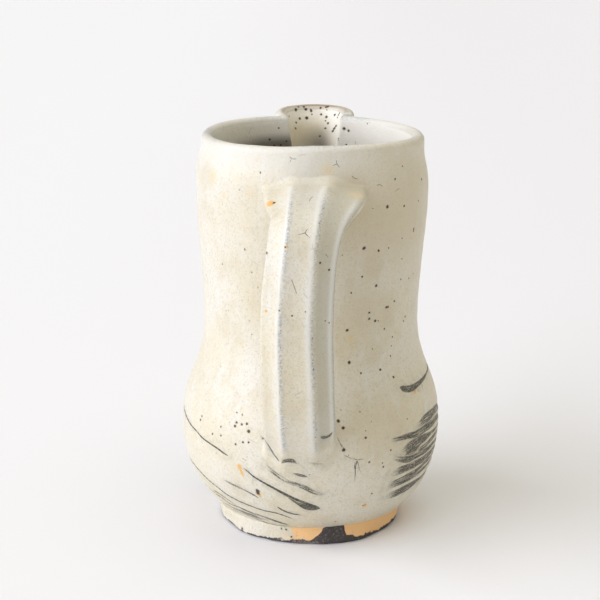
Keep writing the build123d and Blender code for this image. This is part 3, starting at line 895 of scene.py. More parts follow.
def wall_grid():
    """The whole skin of the body and the spout as one grid, with the row numbers of its parts."""
    outside = outer_rows()
    inside = inner_rows()
    under = underside_rows(outside[0])
    lip = lip_rows(outside[-1], inside[0])
    marks = {"crease": len(under), "lip": len(under) + len(outside)}
    marks["inside"] = marks["lip"] + len(lip)
    marks["crest"] = marks["lip"] + len(lip) // 2
    grid = np.stack(under + outside + lip + inside)
    hand_of_potter(grid)
    normals = grid_normals(grid)
    free = smooth_step(0, CREASE_BLEND, grid[..., 2] - grid[marks["crease"], :, 2])
    free[: marks["crease"]] = 0
    grid += normals * ((hand_unevenness(grid) + mound(grid)) * free)[..., None]
    return grid, marks


# Handle
def handle_line():
    """The strap's middle line as (reach, height), from inside the neck to inside the belly."""
    fall = unit(np.array(HANDLE_FOOT) - (HANDLE_REACH, HANDLE_KNEE))
    top = np.array((HANDLE_REACH, HANDLE_TOP))
    knee = np.array((HANDLE_REACH, HANDLE_KNEE))
    out = np.array((1.0, 0.0))
    down = np.array((0.0, -1.0))
    turn = HANDLE_LOWER_BEND
    start = np.array((SHOULDER_RADIUS, HANDLE_TOP)) - down * HANDLE_RISE
    leave = start + out * HANDLE_LEAVE + down * HANDLE_RISE
    upper = bezier(start, leave, top + down * HANDLE_ARRIVE, top + down * HANDLE_UPPER_BEND)
    lower = bezier(knee - down * turn, knee - down * turn / 3, knee + fall * turn / 3, knee + fall * turn)
    line = np.vstack([upper, lower, np.array(HANDLE_FOOT)[None]])
    return even_points(line, STRAP_STEP)


def rounded_corner(enter, corner, leave):
    """Points round a softened corner."""
    first = enter + (corner - enter) * CORNER_PULL
    second = leave + (corner - leave) * CORNER_PULL
    return bezier(enter, first, second, leave, CORNER_POINTS)


def strap_parts():
    """How many points of the strap's section lie on each of its six sides."""
    parts = [STRAP_POINTS // divisor for divisor in STRAP_DIVISORS]
    return parts + [STRAP_POINTS - sum(parts)]


def strap_section(left_edge, left_ridge, right_ridge, right_edge, rounding, bevel):
    """The strap's rounded section as (side, outward) points, from the left ridge round to the right."""
    edge = STRAP_THICKNESS / 2 - bevel
    top = STRAP_THICKNESS / 2
    corners = np.array((
        (left_ridge, top),
        (right_ridge, top),
        (right_edge, edge),
        (right_edge - STRAP_UNDERCUT, -top),
        (left_edge + STRAP_UNDERCUT, -top),
        (left_edge, edge),
    ))
    cuts = (RIDGE_ROUNDING, RIDGE_ROUNDING, rounding, BACK_ROUNDING, BACK_ROUNDING, rounding)
    hollows = (FACET_HOLLOW, FACET_HOLLOW, 0.0, -BACK_CROWN, 0.0, FACET_HOLLOW)
    share = np.linspace(0, 1, FACET_POINTS)[1:, None]
    half = CORNER_POINTS // 2
    line = []
    for index, count in enumerate(strap_parts()):
        before, corner, after, far = (corners[(index + step) % len(corners)] for step in (-1, 0, 1, 2))
        next_cut = cuts[(index + 1) % len(corners)]
        leave = toward(corner, after, cuts[index])
        stop = toward(after, corner, next_cut)
        bend = rounded_corner(toward(corner, before, cuts[index]), corner, leave)
        turn = rounded_corner(stop, after, toward(after, far, next_cut))
        inward = unit(np.array((stop[1] - leave[1], leave[0] - stop[0])))
        facet = leave + (stop - leave) * share + inward * hollows[index] * np.sin(pi * share)
        line.append(part_even(np.vstack([bend[half:], facet, turn[1: half + 1]]), count))
    return np.vstack(line)


def strap_rings(line):
    """Rings of the strap along its middle line."""
    tangents = unit(np.gradient(line, axis=0))
    shares = np.linspace(0, 1, len(line))
    places = [through(steps, shares) for steps in (LEFT_EDGE, LEFT_RIDGE, RIGHT_RIDGE, RIGHT_EDGE)]
    rings = []
    for index, (place, tangent) in enumerate(zip(line, tangents)):
        from_end = min(shares[index], 1 - shares[index])
        rounding = EDGE_ROUNDING + ROOT_ROUNDING * smooth_step(*ROOT_ROUND_SHARES, from_end)
        bevel = STRAP_BEVEL * (1 - ROOT_FLATNESS * smooth_step(*ROOT_FLAT_SHARES, shares[index]))
        section = strap_section(*(side[index] for side in places), rounding, bevel)
        outward = np.array((-tangent[1], tangent[0]))
        reach = place[0] + section[:, 1] * outward[0]
        height = place[1] + section[:, 1] * outward[1]
        rings.append(np.stack((section[:, 0], -reach, height), axis=1))
    return np.stack(rings), tangents


def wall_skin(places, sink):
    """The places moved along their level onto the wall's uneven outside, then sunk into it."""
    height = places[:, 2]
    bearing = bearing_of(places)
    skin = on_circle(outer_radius(height), bearing, height)
    off = hand_unevenness(skin) + mound(skin) - sink
    return skin + on_circle(1.0, bearing, 0.0) * off[:, None]


def meet_wall(ring, heading):
    """Where the straight rails from a ring of the strap meet the wall."""
    near = np.zeros(len(ring))
    far = np.full(len(ring), RAIL_LENGTH)
    for _ in range(RAIL_HALVINGS):
        middle = (near + far) / 2
        places = ring + heading * middle[:, None]
        outside = np.hypot(places[:, 0], places[:, 1]) > outer_radius(places[:, 2])
        near = np.where(outside, middle, near)
        far = np.where(outside, far, middle)
    return ring + heading * near[:, None], near


def root_rings(ring, heading, steps, roundness):
    """Rings of a root, from the strap's end ring to its flared seat on the wall, then closed inside."""
    meets, lengths = meet_wall(ring, heading)
    middle = meets.mean(axis=0)
    outward = on_circle(1.0, bearing_of(meets), 0.0)
    spread = meets - middle
    spread -= outward * np.sum(spread * outward, axis=1, keepdims=True)
    spread[:, 2] *= np.ptp(meets[:, 0]) / np.ptp(meets[:, 2])
    spread = unit(spread)
    reach = through(steps, np.degrees(np.arctan2(spread[:, 2], spread[:, 0])))
    round_seat = (np.ptp(meets, axis=0) * (0.5, 0, 0.5) + reach[:, None] * (1, 0, 1)) * spread
    centre = np.array((np.min(meets[:, 0]) + np.max(meets[:, 0]), 0, 2 * middle[2])) / 2
    round_seat += centre + (0, 1, 0) * meets[:, 1:2]
    seat = meets + spread * reach[:, None]
    roundness = roundness * smooth_step(*ROUND_SEAT_SLOPES, spread[:, 2])
    feet = wall_skin(seat + (round_seat - seat) * roundness[:, None], ROOT_SINK)
    back = np.minimum(reach * ROOT_LEAD, lengths)
    leaves = meets - heading * back[:, None]
    corner = wall_skin(meets, 0.0)
    rings = []
    for share in np.linspace(0, 1, ROOT_ROWS)[1:-1]:
        rings.append(ring + (leaves - ring) * share)
    for share in np.linspace(0, 1, ROOT_BEND_ROWS):
        bend = leaves * (1 - share) ** 2 + corner * (2 * share * (1 - share)) + feet * share ** 2
        rings.append(bend)
    deep = wall_skin(feet, SEAT_DEPTH)
    inner = wall_skin(middle[None], SEAT_MIDDLE_DEPTH)
    return rings + [deep] + [inner + (deep - inner) * share for share in SEAT_CLOSING]


def handle_grid():
    """The whole skin of the handle as one grid, with the row numbers of its three pieces."""
    line = handle_line()
    reach_gap = line[:, 0] - outer_radius(line[:, 1])
    clear = np.nonzero(reach_gap > ROOT_LENGTH)[0]
    near = np.nonzero(reach_gap > ROOT_RUN)[0]
    first = near[0]
    last = near[-1]
    rings, tangents = strap_rings(line)
    upper_heading = np.array((0.0, tangents[first][0], -tangents[first][1]))
    lower_heading = np.array((0.0, -tangents[last][0], tangents[last][1]))
    upper = root_rings(rings[first], upper_heading, UPPER_SPREAD, 0.0)
    lower = root_rings(rings[last], lower_heading, LOWER_SPREAD, ROOT_ROUNDNESS)
    marks = {"start": len(upper), "stop": len(upper) + last - first}
    marks["strap"] = len(upper) + clear[0] - first
    marks["lower"] = len(upper) + clear[-1] - first
    grid = np.stack(upper[::-1] + list(rings[first: last + 1]) + lower)
    start = marks["start"]
    stop = marks["stop"]
    ends = (start - ROOT_BEND_ROWS, start - 1, stop + 1, stop + ROOT_BEND_ROWS)
    free = np.interp(np.arange(len(grid)), ends, (0, 1, 1, 0))
    grid -= grid_normals(grid) * (waves(grid, HANDLE_WAVES) * free[:, None])[..., None]
    return grid, marks


# Foot ring
def foot_grid(crease):
    """The foot ring's skin as a closed loop of rings, from the crease down, under and back up."""
    base = FOOT_JOINT_RADIUS - FOOT_SPLAY
    inner = base - FOOT_WIDTH
    flat = FOOT_WIDTH - 2 * FOOT_EDGE
    top_radius = np.hypot(crease[:, 0], crease[:, 1])
    top_height = crease[:, 2]
    rows = []
    for share in np.linspace(0, 1, FOOT_FACE_ROWS):
        height = top_height + (FOOT_EDGE - top_height) * share
        rows.append(level_ring(height, top_radius + (base - top_radius) * share))
    for angle in np.linspace(0, pi / 2, FOOT_EDGE_ROWS + 1)[1:]:
        rows.append(level_ring(FOOT_EDGE * (1 - sin(angle)), base - FOOT_EDGE * (1 - cos(angle))))
    for share in np.linspace(0, 1, 7)[1:]:
        rows.append(level_ring(0.0, base - FOOT_EDGE - flat * share))
    for angle in np.linspace(0, pi / 2, 5)[1:]:
        rows.append(level_ring(FOOT_EDGE * (1 - cos(angle)), inner + FOOT_EDGE * (1 - sin(angle))))
    for share in np.linspace(0, 1, 5)[1:]:
        rows.append(level_ring(FOOT_EDGE + (FOOT_HEIGHT - FOOT_EDGE) * share, inner))
    rows.append(level_ring((FOOT_HEIGHT + top_height) / 2, (inner + top_radius) / 2))
    grid = np.stack(rows)
    grid[..., 0] += FOOT_SHIFT
    grid[0] = crease
    height = grid[..., 2]
    outer_face = np.zeros((len(grid), 1))
    face_shares = np.linspace(UNEVEN_CREASE, 1, FOOT_FACE_ROWS - 1)
    edge_shares = np.linspace(1, UNEVEN_UNDER, FOOT_EDGE_ROWS)
    outer_face[1: FOOT_OUTER_ROWS, 0] = np.concatenate((face_shares, edge_shares))
    chips = np.maximum(lattice_noise(grid, *CHIP_NOISE) - CHIP_START, 0) * CHIP_DEPTH
    move = (waves(grid, FOOT_WAVES) - chips * smooth_step(*CHIP_HEIGHTS, height)) * outer_face
    move += through(FOOT_BULGES, SIGNED_BEARINGS) * smooth_step(*BULGE_HEIGHTS, height) * (outer_face > 0)
    return grid + unit(grid * (1, 1, 0)) * move[..., None]


# Pieces from grids
def grid_faces(rows, columns, row_range, column_range):
    """Quads between neighbouring rows and columns of a grid."""
    row, column = np.meshgrid(np.arange(*row_range), np.arange(*column_range), indexing="ij")
    column = column.ravel()
    after = (column + 1) % columns
    low = row.ravel() * columns
    high = (row.ravel() + 1) % rows * columns
    return np.stack((low + column, low + after, high + after, high + column), axis=1)


def bridge(first, second, heights):
    """Triangles across the wall between two lines of points that both run downwards."""
    faces = []
    i = 0
    j = 0
    while i < len(first) - 1 or j < len(second) - 1:
        step_first = j == len(second) - 1
        if i < len(first) - 1 and not step_first:
            step_first = heights[first[i + 1]] >= heights[second[j + 1]]
        if step_first:
            face = (first[i], first[i + 1], second[j])
            i += 1
        else:
            face = (first[i], second[j + 1], second[j])
            j += 1
        if len(set(face)) == 3:
            faces.append(face)
    return faces


def fill_pole(row, columns, flip):
    """A polygon that closes the small ring at the middle of the floor or the underside."""
    ring = [row * columns + column for column in range(columns)]
    return ring[::-1] if flip else ring


def make_piece(name, points, faces, material, values):
    """A closed mesh piece from the used points of a grid, which stands for the node of its name."""
    used = np.unique(np.concatenate([np.asarray(face) for face in faces]))
    place = np.full(points.reshape(-1, 3).shape[0], -1)
    place[used] = np.arange(len(used))
    mesh = bpy.data.meshes.new(name)
    corners = [[int(place[index]) for index in face] for face in faces]
    mesh.from_pydata(points.reshape(-1, 3)[used] * MM, [], corners)
    for key, field in values.items():
        layer = mesh.attributes.new(key, "FLOAT", "POINT")
        layer.data.foreach_set("value", field.reshape(-1)[used].astype(np.float32))
    work = bmesh.new()
    work.from_mesh(mesh)
    bmesh.ops.recalc_face_normals(work, faces=work.faces)
    work.to_mesh(mesh)
    work.free()
    mesh.polygons.foreach_set("use_smooth", [True] * len(mesh.polygons))
    mesh.set_sharp_from_angle(angle=radians(SHARP_ANGLE))
    piece = bpy.data.objects.new(name + "_clay", mesh)
    bpy.context.scene.collection.objects.link(piece)
    mesh.materials.append(material)
    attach(piece, "root")
    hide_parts(name)
    return piece


def frame_points(points):
    """Points set out closely along the smooth line through the pixels of a few of them."""
    points = np.array(points, dtype=float)
    lengths = run_lengths(points[:, :2])
    wanted = np.linspace(0, lengths[-1], max(4, int(lengths[-1] / LINE_GAP)))
    return np.stack([through(list(zip(lengths, column)), wanted) for column in points.T], axis=1)


def grid_tree(grids):
    """A tree of all the faces of some grids, to cast rays onto."""
    points = []
    faces = []
    for grid in grids:
        rows, columns = grid.shape[:2]
        quads = grid_faces(rows, columns, (0, rows - 1), (0, columns))
        faces += (quads + sum(len(part) for part in points)).tolist()
        points.append(grid.reshape(-1, 3))
    return BVHTree.FromPolygons(np.vstack(points).tolist(), faces)


def cast(tree, pixel, nudges=12):
    """The place on the clay behind a pixel of the frame, nudged inwards if it just misses."""
    across, up, ahead = camera_axes()
    middle = FRAME_PIXELS / 2
    pixel = np.array(pixel, dtype=float)
    for _ in range(nudges):
        ray = ahead + across * (pixel[0] - middle) / VIEW_FOCAL - up * (pixel[1] - middle) / VIEW_FOCAL
        place, _, _, _ = tree.ray_cast(Vector(VIEW_PLACE), Vector(ray).normalized())
        if place is not None:
            return np.array(place)
        pixel += (middle - pixel) / np.linalg.norm(middle - pixel)
    return None


def cast_line(tree, points):
    """The places on the clay behind a line of pixels, each with the half width there."""
    found = []
    for across, down, half in frame_points(points):
        place = cast(tree, (across, down), 1)
        if place is not None:
            found.append((*place, half))
    return np.array(found)


def run_on(line):
    """A line on the wall that reaches the edge of the view, led on round the pot at the same slope."""
    for _ in range(2):
        line = line[::-1]
        bearing = bearing_of(line)
        if abs(bearing[-1]) < radians(RUN_ON_BEARING):
            continue
        back = min(len(line) - 1, RUN_ON_BACK)
        turn = np.sign(bearing[-1]) * max(abs(bearing[-1] - bearing[-1 - back]), 0.01)
        slope = np.clip((line[-1, 2] - line[-1 - back, 2]) / turn, -RUN_ON_SLOPE, RUN_ON_SLOPE)
        more = np.linspace(0, np.sign(turn) * radians(RUN_ON_TURN), RUN_ON_POINTS)[1:]
        height = line[-1, 2] + slope * more * (1 - np.abs(more))
        onward = on_circle(outer_radius(height), bearing[-1] + more, height)
        half = np.full(len(more), line[-1, 3])
        line = np.vstack((line, np.column_stack((onward, half))))
    return line


def turned(line, turn):
    """A line of places turned about the pot's axis."""
    angle = radians(turn)
    line = line.copy()
    line[:, :2] = line[:, :2] @ np.array(((cos(angle), sin(angle)), (-sin(angle), cos(angle))))
    return line


def frayed(line, grain):
    """A line with its grain at each place: broad strokes break up towards their ends, and towards the pot's
    sides as painted sheen.
    """
    lengths = run_lengths(line[:, :3])
    end = smooth_step(FRAYED_LENGTH, 0, np.minimum(lengths, lengths[-1] - lengths)) * (BROKEN_END - grain)
    bearing = np.degrees(np.abs(bearing_of(line)))
    # Painted sheen: strokes break up towards the pot's sides
    side = smooth_step(*SHEEN_BEARINGS, bearing) * (SHEEN_BROKEN_SIDE - grain)
    loose = grain > SOLID_GRAIN
    return np.column_stack((line, grain + np.maximum(np.maximum(end, side), 0) * loose))


def all_strokes(tree):
    """Every stroke and crack as (places with half width and grain, depth, number in its group)."""
    strokes = []
    groups = ((LEFT_STROKES, LEFT_TURNS), (RIGHT_STROKES, RIGHT_TURNS), (HANDLE_STROKES, (0,)))
    for group, turns in groups:
        for index, (points, depth, grain) in enumerate(group):
            line = cast_line(tree, points)
            if group is not HANDLE_STROKES:
                line = run_on(line)
            line = frayed(line, grain)
            for turn in turns:
                strokes.append((turned(line, turn), depth, index))
    for crack in CRACKS:
        middle = np.array(crack[0])
        for index, end in enumerate(crack[1:]):
            start = middle + (middle - end) * CRACK_OVERLAP
            line = cast_line(tree, ((*start, CRACK_HALF_WIDTH), (*end, CRACK_HALF_WIDTH / 2)))
            strokes.append((frayed(line, 0.0), CRACK_DEPTH, index))
    return strokes


def paint_strokes(places, normals, strokes):
    """For each point: its place across and along the nearest stroke of each layer, and the groove's depth.

    Strokes that lie side by side take turns in the layers, and those that meet in a layer have their
    near sides alike, so that no false line appears between them.
    """
    shape = places.shape[:-1]
    places = places.reshape(-1, 3)
    normals = normals.reshape(-1, 3)
    fields = {}
    for layer in range(STROKE_LAYERS):
        for name, value in LAYER_FIELDS:
            fields[f"{name}_{layer}"] = np.full(len(places), value)
    groove = np.zeros(len(places))
    thin = np.zeros(len(places))
    for line, depth, number in strokes:
        half = line[:, 3]
        grain = line[:, 4]
        line = line[:, :3]
        layer = number % STROKE_LAYERS
        side = 1 - 2 * (number // STROKE_LAYERS % 2)
        reach = half.max() + STROKE_REACH
        inside = np.all((places > line.min(axis=0) - reach) & (places < line.max(axis=0) + reach), axis=1)
        index = np.nonzero(inside)[0]
        if len(index) == 0:
            continue
        gaps = np.linalg.norm(places[index, None] - line[None], axis=2)
        nearest = gaps.argmin(axis=1)
        lengths = run_lengths(line)
        offset = places[index] - line[nearest]
        tangent = unit(np.gradient(line, axis=0))[nearest]
        along = lengths[nearest] + np.sum(offset * tangent, axis=1)
        across = side * np.sum(offset * np.cross(normals[index], tangent), axis=1)
        ends = np.minimum(along, lengths[-1] - along) / min(STROKE_TAPER, STROKE_TAPER_SHARE * lengths[-1])
        half_here = np.interp(along, lengths, half)
        width = half_here * np.sqrt(np.clip(ends, 0, 1)) + np.minimum(ends, 0)
        off = np.abs(np.sum(offset * normals[index], axis=1))
        if depth > CRACK_DEPTH:
            blur = bell(np.maximum(gaps.min(axis=1) - half_here, 0), 0, STROKE_BLUR)
            thin[index] = np.maximum(thin[index], blur * (off < NEAR_SKIN))
        painted = np.abs(fields[f"across_{layer}"][index]) - fields[f"half_{layer}"][index]
        near = (np.abs(across) - width < painted) & (np.abs(across) < half_here + STROKE_MARGIN)
        near &= (ends > -STROKE_PAST_END) & (off < NEAR_SKIN)
        chosen = index[near]
        stored = (across, width, along, np.interp(along, lengths, grain))
        for (name, _), value in zip(LAYER_FIELDS, stored):
            fields[f"{name}_{layer}"][chosen] = value[near]
        flat = half_here[near] * GROOVE_FLAT
        slope = half_here[near] - flat + GROOVE_EDGE
        inside = smooth_step(1, 0, (np.abs(across[near]) - flat) / slope)
        cut = depth * inside * np.clip(ends[near], 0, 1)
        groove[chosen] = np.maximum(groove[chosen], cut)
    fields["thin"] = thin
    return {key: field.reshape(shape) for key, field in fields.items()}, groove.reshape(shape)


class Shader:
    """A material whose nodes are put together with short calls."""

    def __init__(self, name):
        self.material = bpy.data.materials.new(name)
        self.material.use_nodes = True
        self.tree = self.material.node_tree
        self.surface = self.tree.nodes["Principled BSDF"]
        self.place = self.node("ShaderNodeTexCoord").outputs["Object"]

    def put(self, node, key, value):
        socket = node.inputs[key]
        if isinstance(value, bpy.types.NodeSocket):
            self.tree.links.new(value, socket)
        elif isinstance(value, tuple) and socket.type == "RGBA":
            socket.default_value = (*value, 1.0)
        else:
            socket.default_value = value

    def node(self, kind, inputs=None, **settings):
        node = self.tree.nodes.new(kind)
        for key, value in settings.items():
            setattr(node, key, value)
        for key, value in (inputs or {}).items():
            self.put(node, key, value)
        return node

    def math(self, operation, *values):
        node = self.node("ShaderNodeMath", operation=operation)
        for index, value in enumerate(values):
            self.put(node, index, value)
        return node.outputs[0]

    def step(self, value, low, high):
        """From 0 where the value is low to 1 where it is high, easing in and out."""
        inputs = {"Value": value, "From Min": low, "From Max": high}
        node = self.node("ShaderNodeMapRange", inputs, interpolation_type="SMOOTHSTEP")
        return node.outputs[0]

    def noise(self, scale, detail=2.0, vector=None, output="Fac"):
        inputs = {"Vector": vector or self.place, "Scale": scale, "Detail": detail}
        return self.node("ShaderNodeTexNoise", inputs).outputs[output]

    def stretched(self, scale):
        """The place scaled differently along each axis."""
        return self.node("ShaderNodeMapping", {"Vector": self.place, "Scale": scale}).outputs[0]

    def jolted(self, scale, detail, reach):
        """The place pushed about by noise, by up to the reach in metres."""
        inputs = {0: self.noise(scale, detail, output="Color"), 1: (reach, reach, reach)}
        push = self.node("ShaderNodeVectorMath", inputs, operation="MULTIPLY").outputs[0]
        return self.node("ShaderNodeVectorMath", {0: self.place, 1: push}, operation="ADD").outputs[0]

    def mix(self, factor, first, second):
        node = self.node("ShaderNodeMix", data_type="RGBA")
        for key, value in ((0, factor), (6, first), (7, second)):
            self.put(node, key, value)
        return node.outputs[2]

    def field(self, name):
        """A value that is stored at the points of the mesh."""
        return self.node("ShaderNodeAttribute", attribute_name=name).outputs["Fac"]

    def times(self, first, second):
        return self.math("MULTIPLY", first, second)

    def scaled(self, value, factor, more):
        """A value times a factor, with more added to it."""
        return self.math("MULTIPLY_ADD", value, factor, more)

    def larger(self, first, second):
        return self.math("MAXIMUM", first, second)

    def patches(self, scale, detail, low, high):
        """Soft patches of noise: 1 where it is high and 0 where it is low."""
        return self.step(self.noise(scale, detail), low, high)

    def dress(self, inputs):
        """Gives the surface its looks."""
        for key, value in inputs.items():
            self.put(self.surface, key, value)

    def tint(self, colour, mask, strength, second):
        """A colour with a second one laid over it where the mask is 1."""
        return self.mix(self.times(mask, strength), colour, second)


def spots(shader, places, vector):
    """How far inside the nearest of some spots: 1 at a spot's middle, 0 at its edge, less outside."""
    deepest = None
    for place, radius in places:
        inputs = {0: vector, 1: tuple(place * MM)}
        gap = shader.node("ShaderNodeVectorMath", inputs, operation="DISTANCE").outputs["Value"]
        inside = shader.scaled(gap, -1 / (radius * MM), 1.0)
        deepest = inside if deepest is None else shader.larger(deepest, inside)
    return deepest


def stray_specks(shader, scale, keep, radius, vector):
    """Specks scattered by chance: cells of the given scale, a share of which hold one."""
    cell = shader.node("ShaderNodeTexVoronoi", {"Vector": vector, "Scale": scale})
    chance = shader.node("ShaderNodeSeparateColor", {"Color": cell.outputs["Color"]})
    size = shader.scaled(chance.outputs["Green"], radius * 0.6, radius * 0.4)
    held = shader.math("LESS_THAN", chance.outputs["Red"], keep)
    size = shader.times(size, held)
    inside = shader.math("SUBTRACT", size, cell.outputs["Distance"])
    return shader.step(inside, 0.0, radius * 0.35)


def glaze_colour(shader):
    """The glaze's own colour: cream with paler clouds, tan pools and milky runs."""
    tone = shader.patches(26.0, 3.0, 0.36, 0.64)
    cloud = shader.patches(75.0, 4.0, 0.50, 0.72)
    runs = shader.step(shader.noise(1.0, 3.0, shader.stretched((170.0, 170.0, 24.0))), 0.50, 0.74)
    mottle = shader.patches(620.0, 2.0, 0.35, 0.75)
    colour = shader.mix(tone, CREAM, PALE)
    colour = shader.tint(colour, cloud, 0.5, TAN)
    colour = shader.tint(colour, runs, 0.55, MILK_AND_PAINTED_LIGHT)
    blotch = shader.patches(190.0, 3.0, 0.54, 0.72)
    colour = shader.tint(colour, blotch, 0.4, YELLOW_TAN)
    return shader.tint(colour, mottle, 0.28, TAN)


def crackle(shader):
    """Short fine cracks here and there in the glaze."""
    inputs = {"Vector": shader.jolted(160.0, 2.0, 0.0015), "Scale": 62.0}
    cells = shader.node("ShaderNodeTexVoronoi", inputs, feature="DISTANCE_TO_EDGE")
    line = shader.step(cells.outputs["Distance"], 0.011, 0.004)
    patch = shader.patches(105.0, 1.0, 0.67, 0.72)
    return shader.times(line, patch)


def stroke_mask(shader, layer):
    """Where a scraped stroke shows the dark clay, with streaks along it, and how broken it is there."""
    across, half, along, grain = (shader.field(f"{name}_{layer}") for name, _ in LAYER_FIELDS)
    inside = shader.math("SUBTRACT", half, shader.math("ABSOLUTE", across))
    rough = shader.scaled(shader.noise(1900.0, 2.0), 0.9, -0.45)
    rough = shader.times(rough, shader.math("MINIMUM", half, 0.7))
    inside = shader.scaled(rough, shader.math("ADD", grain, 0.2), inside)
    soft = shader.scaled(shader.larger(half, 0.0), 0.2, 0.02)
    soft = shader.scaled(grain, 0.8, soft)
    mask = shader.step(inside, -0.06, soft)
    run = shader.node("ShaderNodeCombineXYZ", {
        "X": shader.times(along, 0.16), "Y": shader.times(across, 2.6), "Z": layer * 7.3})
    low = shader.scaled(grain, 0.42, 0.16)
    streak = shader.step(shader.noise(1.0, 3.0, run.outputs[0]), low, shader.math("ADD", low, 0.24))
    low = shader.scaled(grain, 0.30, 0.12)
    speckle = shader.patches(1500.0, 2.0, low, shader.math("ADD", low, 0.24))
    whole = shader.times(streak, speckle)
    return shader.times(mask, whole), mask, shader.times(mask, grain)


def worn_glaze(shader, colour, grit):
    """Tan patches, painted shade, grey and worn glaze on ridges and beside strokes, pale glaze with painted
    light and highlights, and painted light and shade inside the mouth.
    """
    colour = shader.mix(shader.field("tan"), colour, TAN)
    # Painted shade in the hollow above the handle and on the strap's facets
    colour = shader.tint(colour, shader.field("painted_shade"), 0.58, GREY_OLIVE_AND_PAINTED_SHADE)
    thin = shader.times(shader.field("thin"), shader.patches(300.0, 3.0, 0.3, 0.8))
    colour = shader.tint(colour, thin, 0.45, GREY_OLIVE_AND_PAINTED_SHADE)
    # Paler glaze, with painted light near the rim and painted highlights beside the strap's ridges
    colour = shader.tint(colour, shader.field("pale_and_painted_light"), 0.75, MILK_AND_PAINTED_LIGHT)
    worn = shader.times(shader.field("worn"), shader.step(grit, 0.30, 0.62))
    colour = shader.tint(colour, worn, 0.75, GREY_BLUE)
    pits = shader.times(shader.field("worn"), shader.patches(1500.0, 1.0, 0.62, 0.72))
    colour = shader.tint(colour, pits, 0.85, STROKE_DARK)
    # Painted light on the upper inside of the mouth
    colour = shader.tint(colour, shader.field("inner"), 0.9, INSIDE_PAINTED_LIGHT)
    # Painted shade inside the mouth: at the left, in the channel's hollow and over the lower wall
    return shader.tint(colour, shader.field("deep"), 0.9, INSIDE_PAINTED_SHADE)


def stained(shader, colour, rust, stains):
    """Stains, rust spots and the brown edge of the spout's lip, laid over the colour."""
    if stains:
        deep = spots(shader, stains, shader.place)
        colour = shader.tint(colour, shader.step(deep, -0.2, 1.0), 0.35, RUST_HALO)
    if rust:
        deep = spots(shader, rust, shader.place)
        colour = shader.tint(colour, shader.step(deep, -0.7, 0.8), 0.35, RUST_HALO)
        colour = shader.tint(colour, shader.step(deep, -0.25, 0.5), 0.8, RUST)
    edge = shader.times(shader.field("iron"), shader.patches(420.0, 3.0, 0.1, 0.42))
    return shader.tint(colour, edge, 0.95, LIP_BROWN)


def scraped(shader, colour, grit):
    """The dark clay in the strokes laid over the colour, and where it shows."""
    strokes, mask, grain = stroke_mask(shader, 0)
    for layer in range(1, STROKE_LAYERS):
        strokes, mask, grain = map(shader.larger, (strokes, mask, grain), stroke_mask(shader, layer))
    grain = shader.math("DIVIDE", grain, shader.larger(mask, 0.01))
    tone = shader.scaled(shader.noise(800.0, 3.0), 2.0, shader.scaled(grain, 1.6, -1.05))
    clay = shader.mix(shader.step(tone, 0.0, 1.0), STROKE_DARK, STROKE_GREY)
    cover = shader.scaled(shader.step(grit, 0.3, 0.6), 0.22, 0.74)
    return shader.mix(shader.times(strokes, cover), colour, clay), strokes


def specked(shader, colour, specks):
    """Placed specks and stray ones in loose clusters laid over the colour, and where they show."""
    vector = shader.jolted(1300.0, 1.0, 0.0006)
    crowd = shader.patches(34.0, 1.0, 0.44, 0.66)
    stray = shader.times(stray_specks(shader, 150.0, 0.18, 0.06, vector), crowd)
    dust = shader.times(stray_specks(shader, 330.0, 0.28, 0.08, vector), crowd)
    speck = shader.larger(stray, shader.times(dust, 0.7))
    if specks:
        deep = spots(shader, specks, vector)
        colour = shader.tint(colour, shader.step(deep, -0.9, 0.3), 0.55, IRON_HALO)
        speck = shader.larger(speck, shader.step(deep, -0.2, 0.12))
    return shader.tint(colour, speck, 0.93, IRON), speck


def bare_foot(shader, colour):
    """Flashed and bare clay laid over the colour, with painted contact shadow along the lower left edge, and
    where it is bare.
    """
    ragged = shader.scaled(shader.noise(520.0, 3.0), 1.1, -0.55)
    flash = shader.step(shader.math("ADD", shader.field("flash"), ragged), 0.22, 0.62)
    flash = shader.times(flash, shader.patches(900.0, 3.0, 0.05, 0.5))
    colour = shader.tint(colour, flash, 0.95, FLASH)
    rough = shader.scaled(shader.noise(700.0, 3.0), 1.6, -0.8)
    bare = shader.step(shader.math("ADD", shader.field("bare"), rough), -0.15, 0.25)
    dusty = shader.scaled(shader.field("tan"), 0.3, shader.noise(900.0, 3.0))
    clay = shader.mix(shader.step(dusty, 0.5, 0.75), BARE_CLAY_AND_SHADOW, BARE_PALE)
    return shader.mix(bare, colour, clay), bare


def clay_material(name, specks, rust, stains, foot):
    """Satin glaze with specks, cracks, strokes and worn edges; on the foot, flashed and bare clay too."""
    shader = Shader(name)
    grit = shader.noise(1150.0, 2.0)
    colour = glaze_colour(shader)
    colour = shader.tint(colour, shader.step(grit, 0.53, 0.68), 0.34, GREY_OLIVE_AND_PAINTED_SHADE)
    colour = worn_glaze(shader, colour, grit)
    colour = stained(shader, colour, rust, stains)
    cracks = crackle(shader)
    colour = shader.tint(colour, cracks, 0.25, CRACK_DARK)
    colour, strokes = scraped(shader, colour, grit)
    colour, speck = specked(shader, colour, specks)
    gloss = shader.scaled(shader.noise(240.0, 3.0), 0.22, 0.30)
    gloss = shader.scaled(strokes, 0.22, gloss)
    relief = shader.scaled(shader.noise(420.0, 3.0), 0.6, shader.times(grit, 0.6))
    for mark, rise in ((speck, -0.8), (strokes, -0.7), (cracks, -0.4)):
        relief = shader.scaled(mark, rise, relief)
    if foot:
        colour, bare = bare_foot(shader, colour)
        gloss = shader.scaled(bare, 0.4, gloss)
        relief = shader.scaled(shader.times(bare, grit), 2.0, relief)
    bump = shader.node("ShaderNodeBump", {"Height": relief, "Strength": 0.6, "Distance": 0.0005})
    looks = {"Base Color": colour, "Roughness": gloss, "Normal": bump.outputs[0]}
    shader.dress({**looks, "Specular IOR Level": 0.45})
    return shader.material


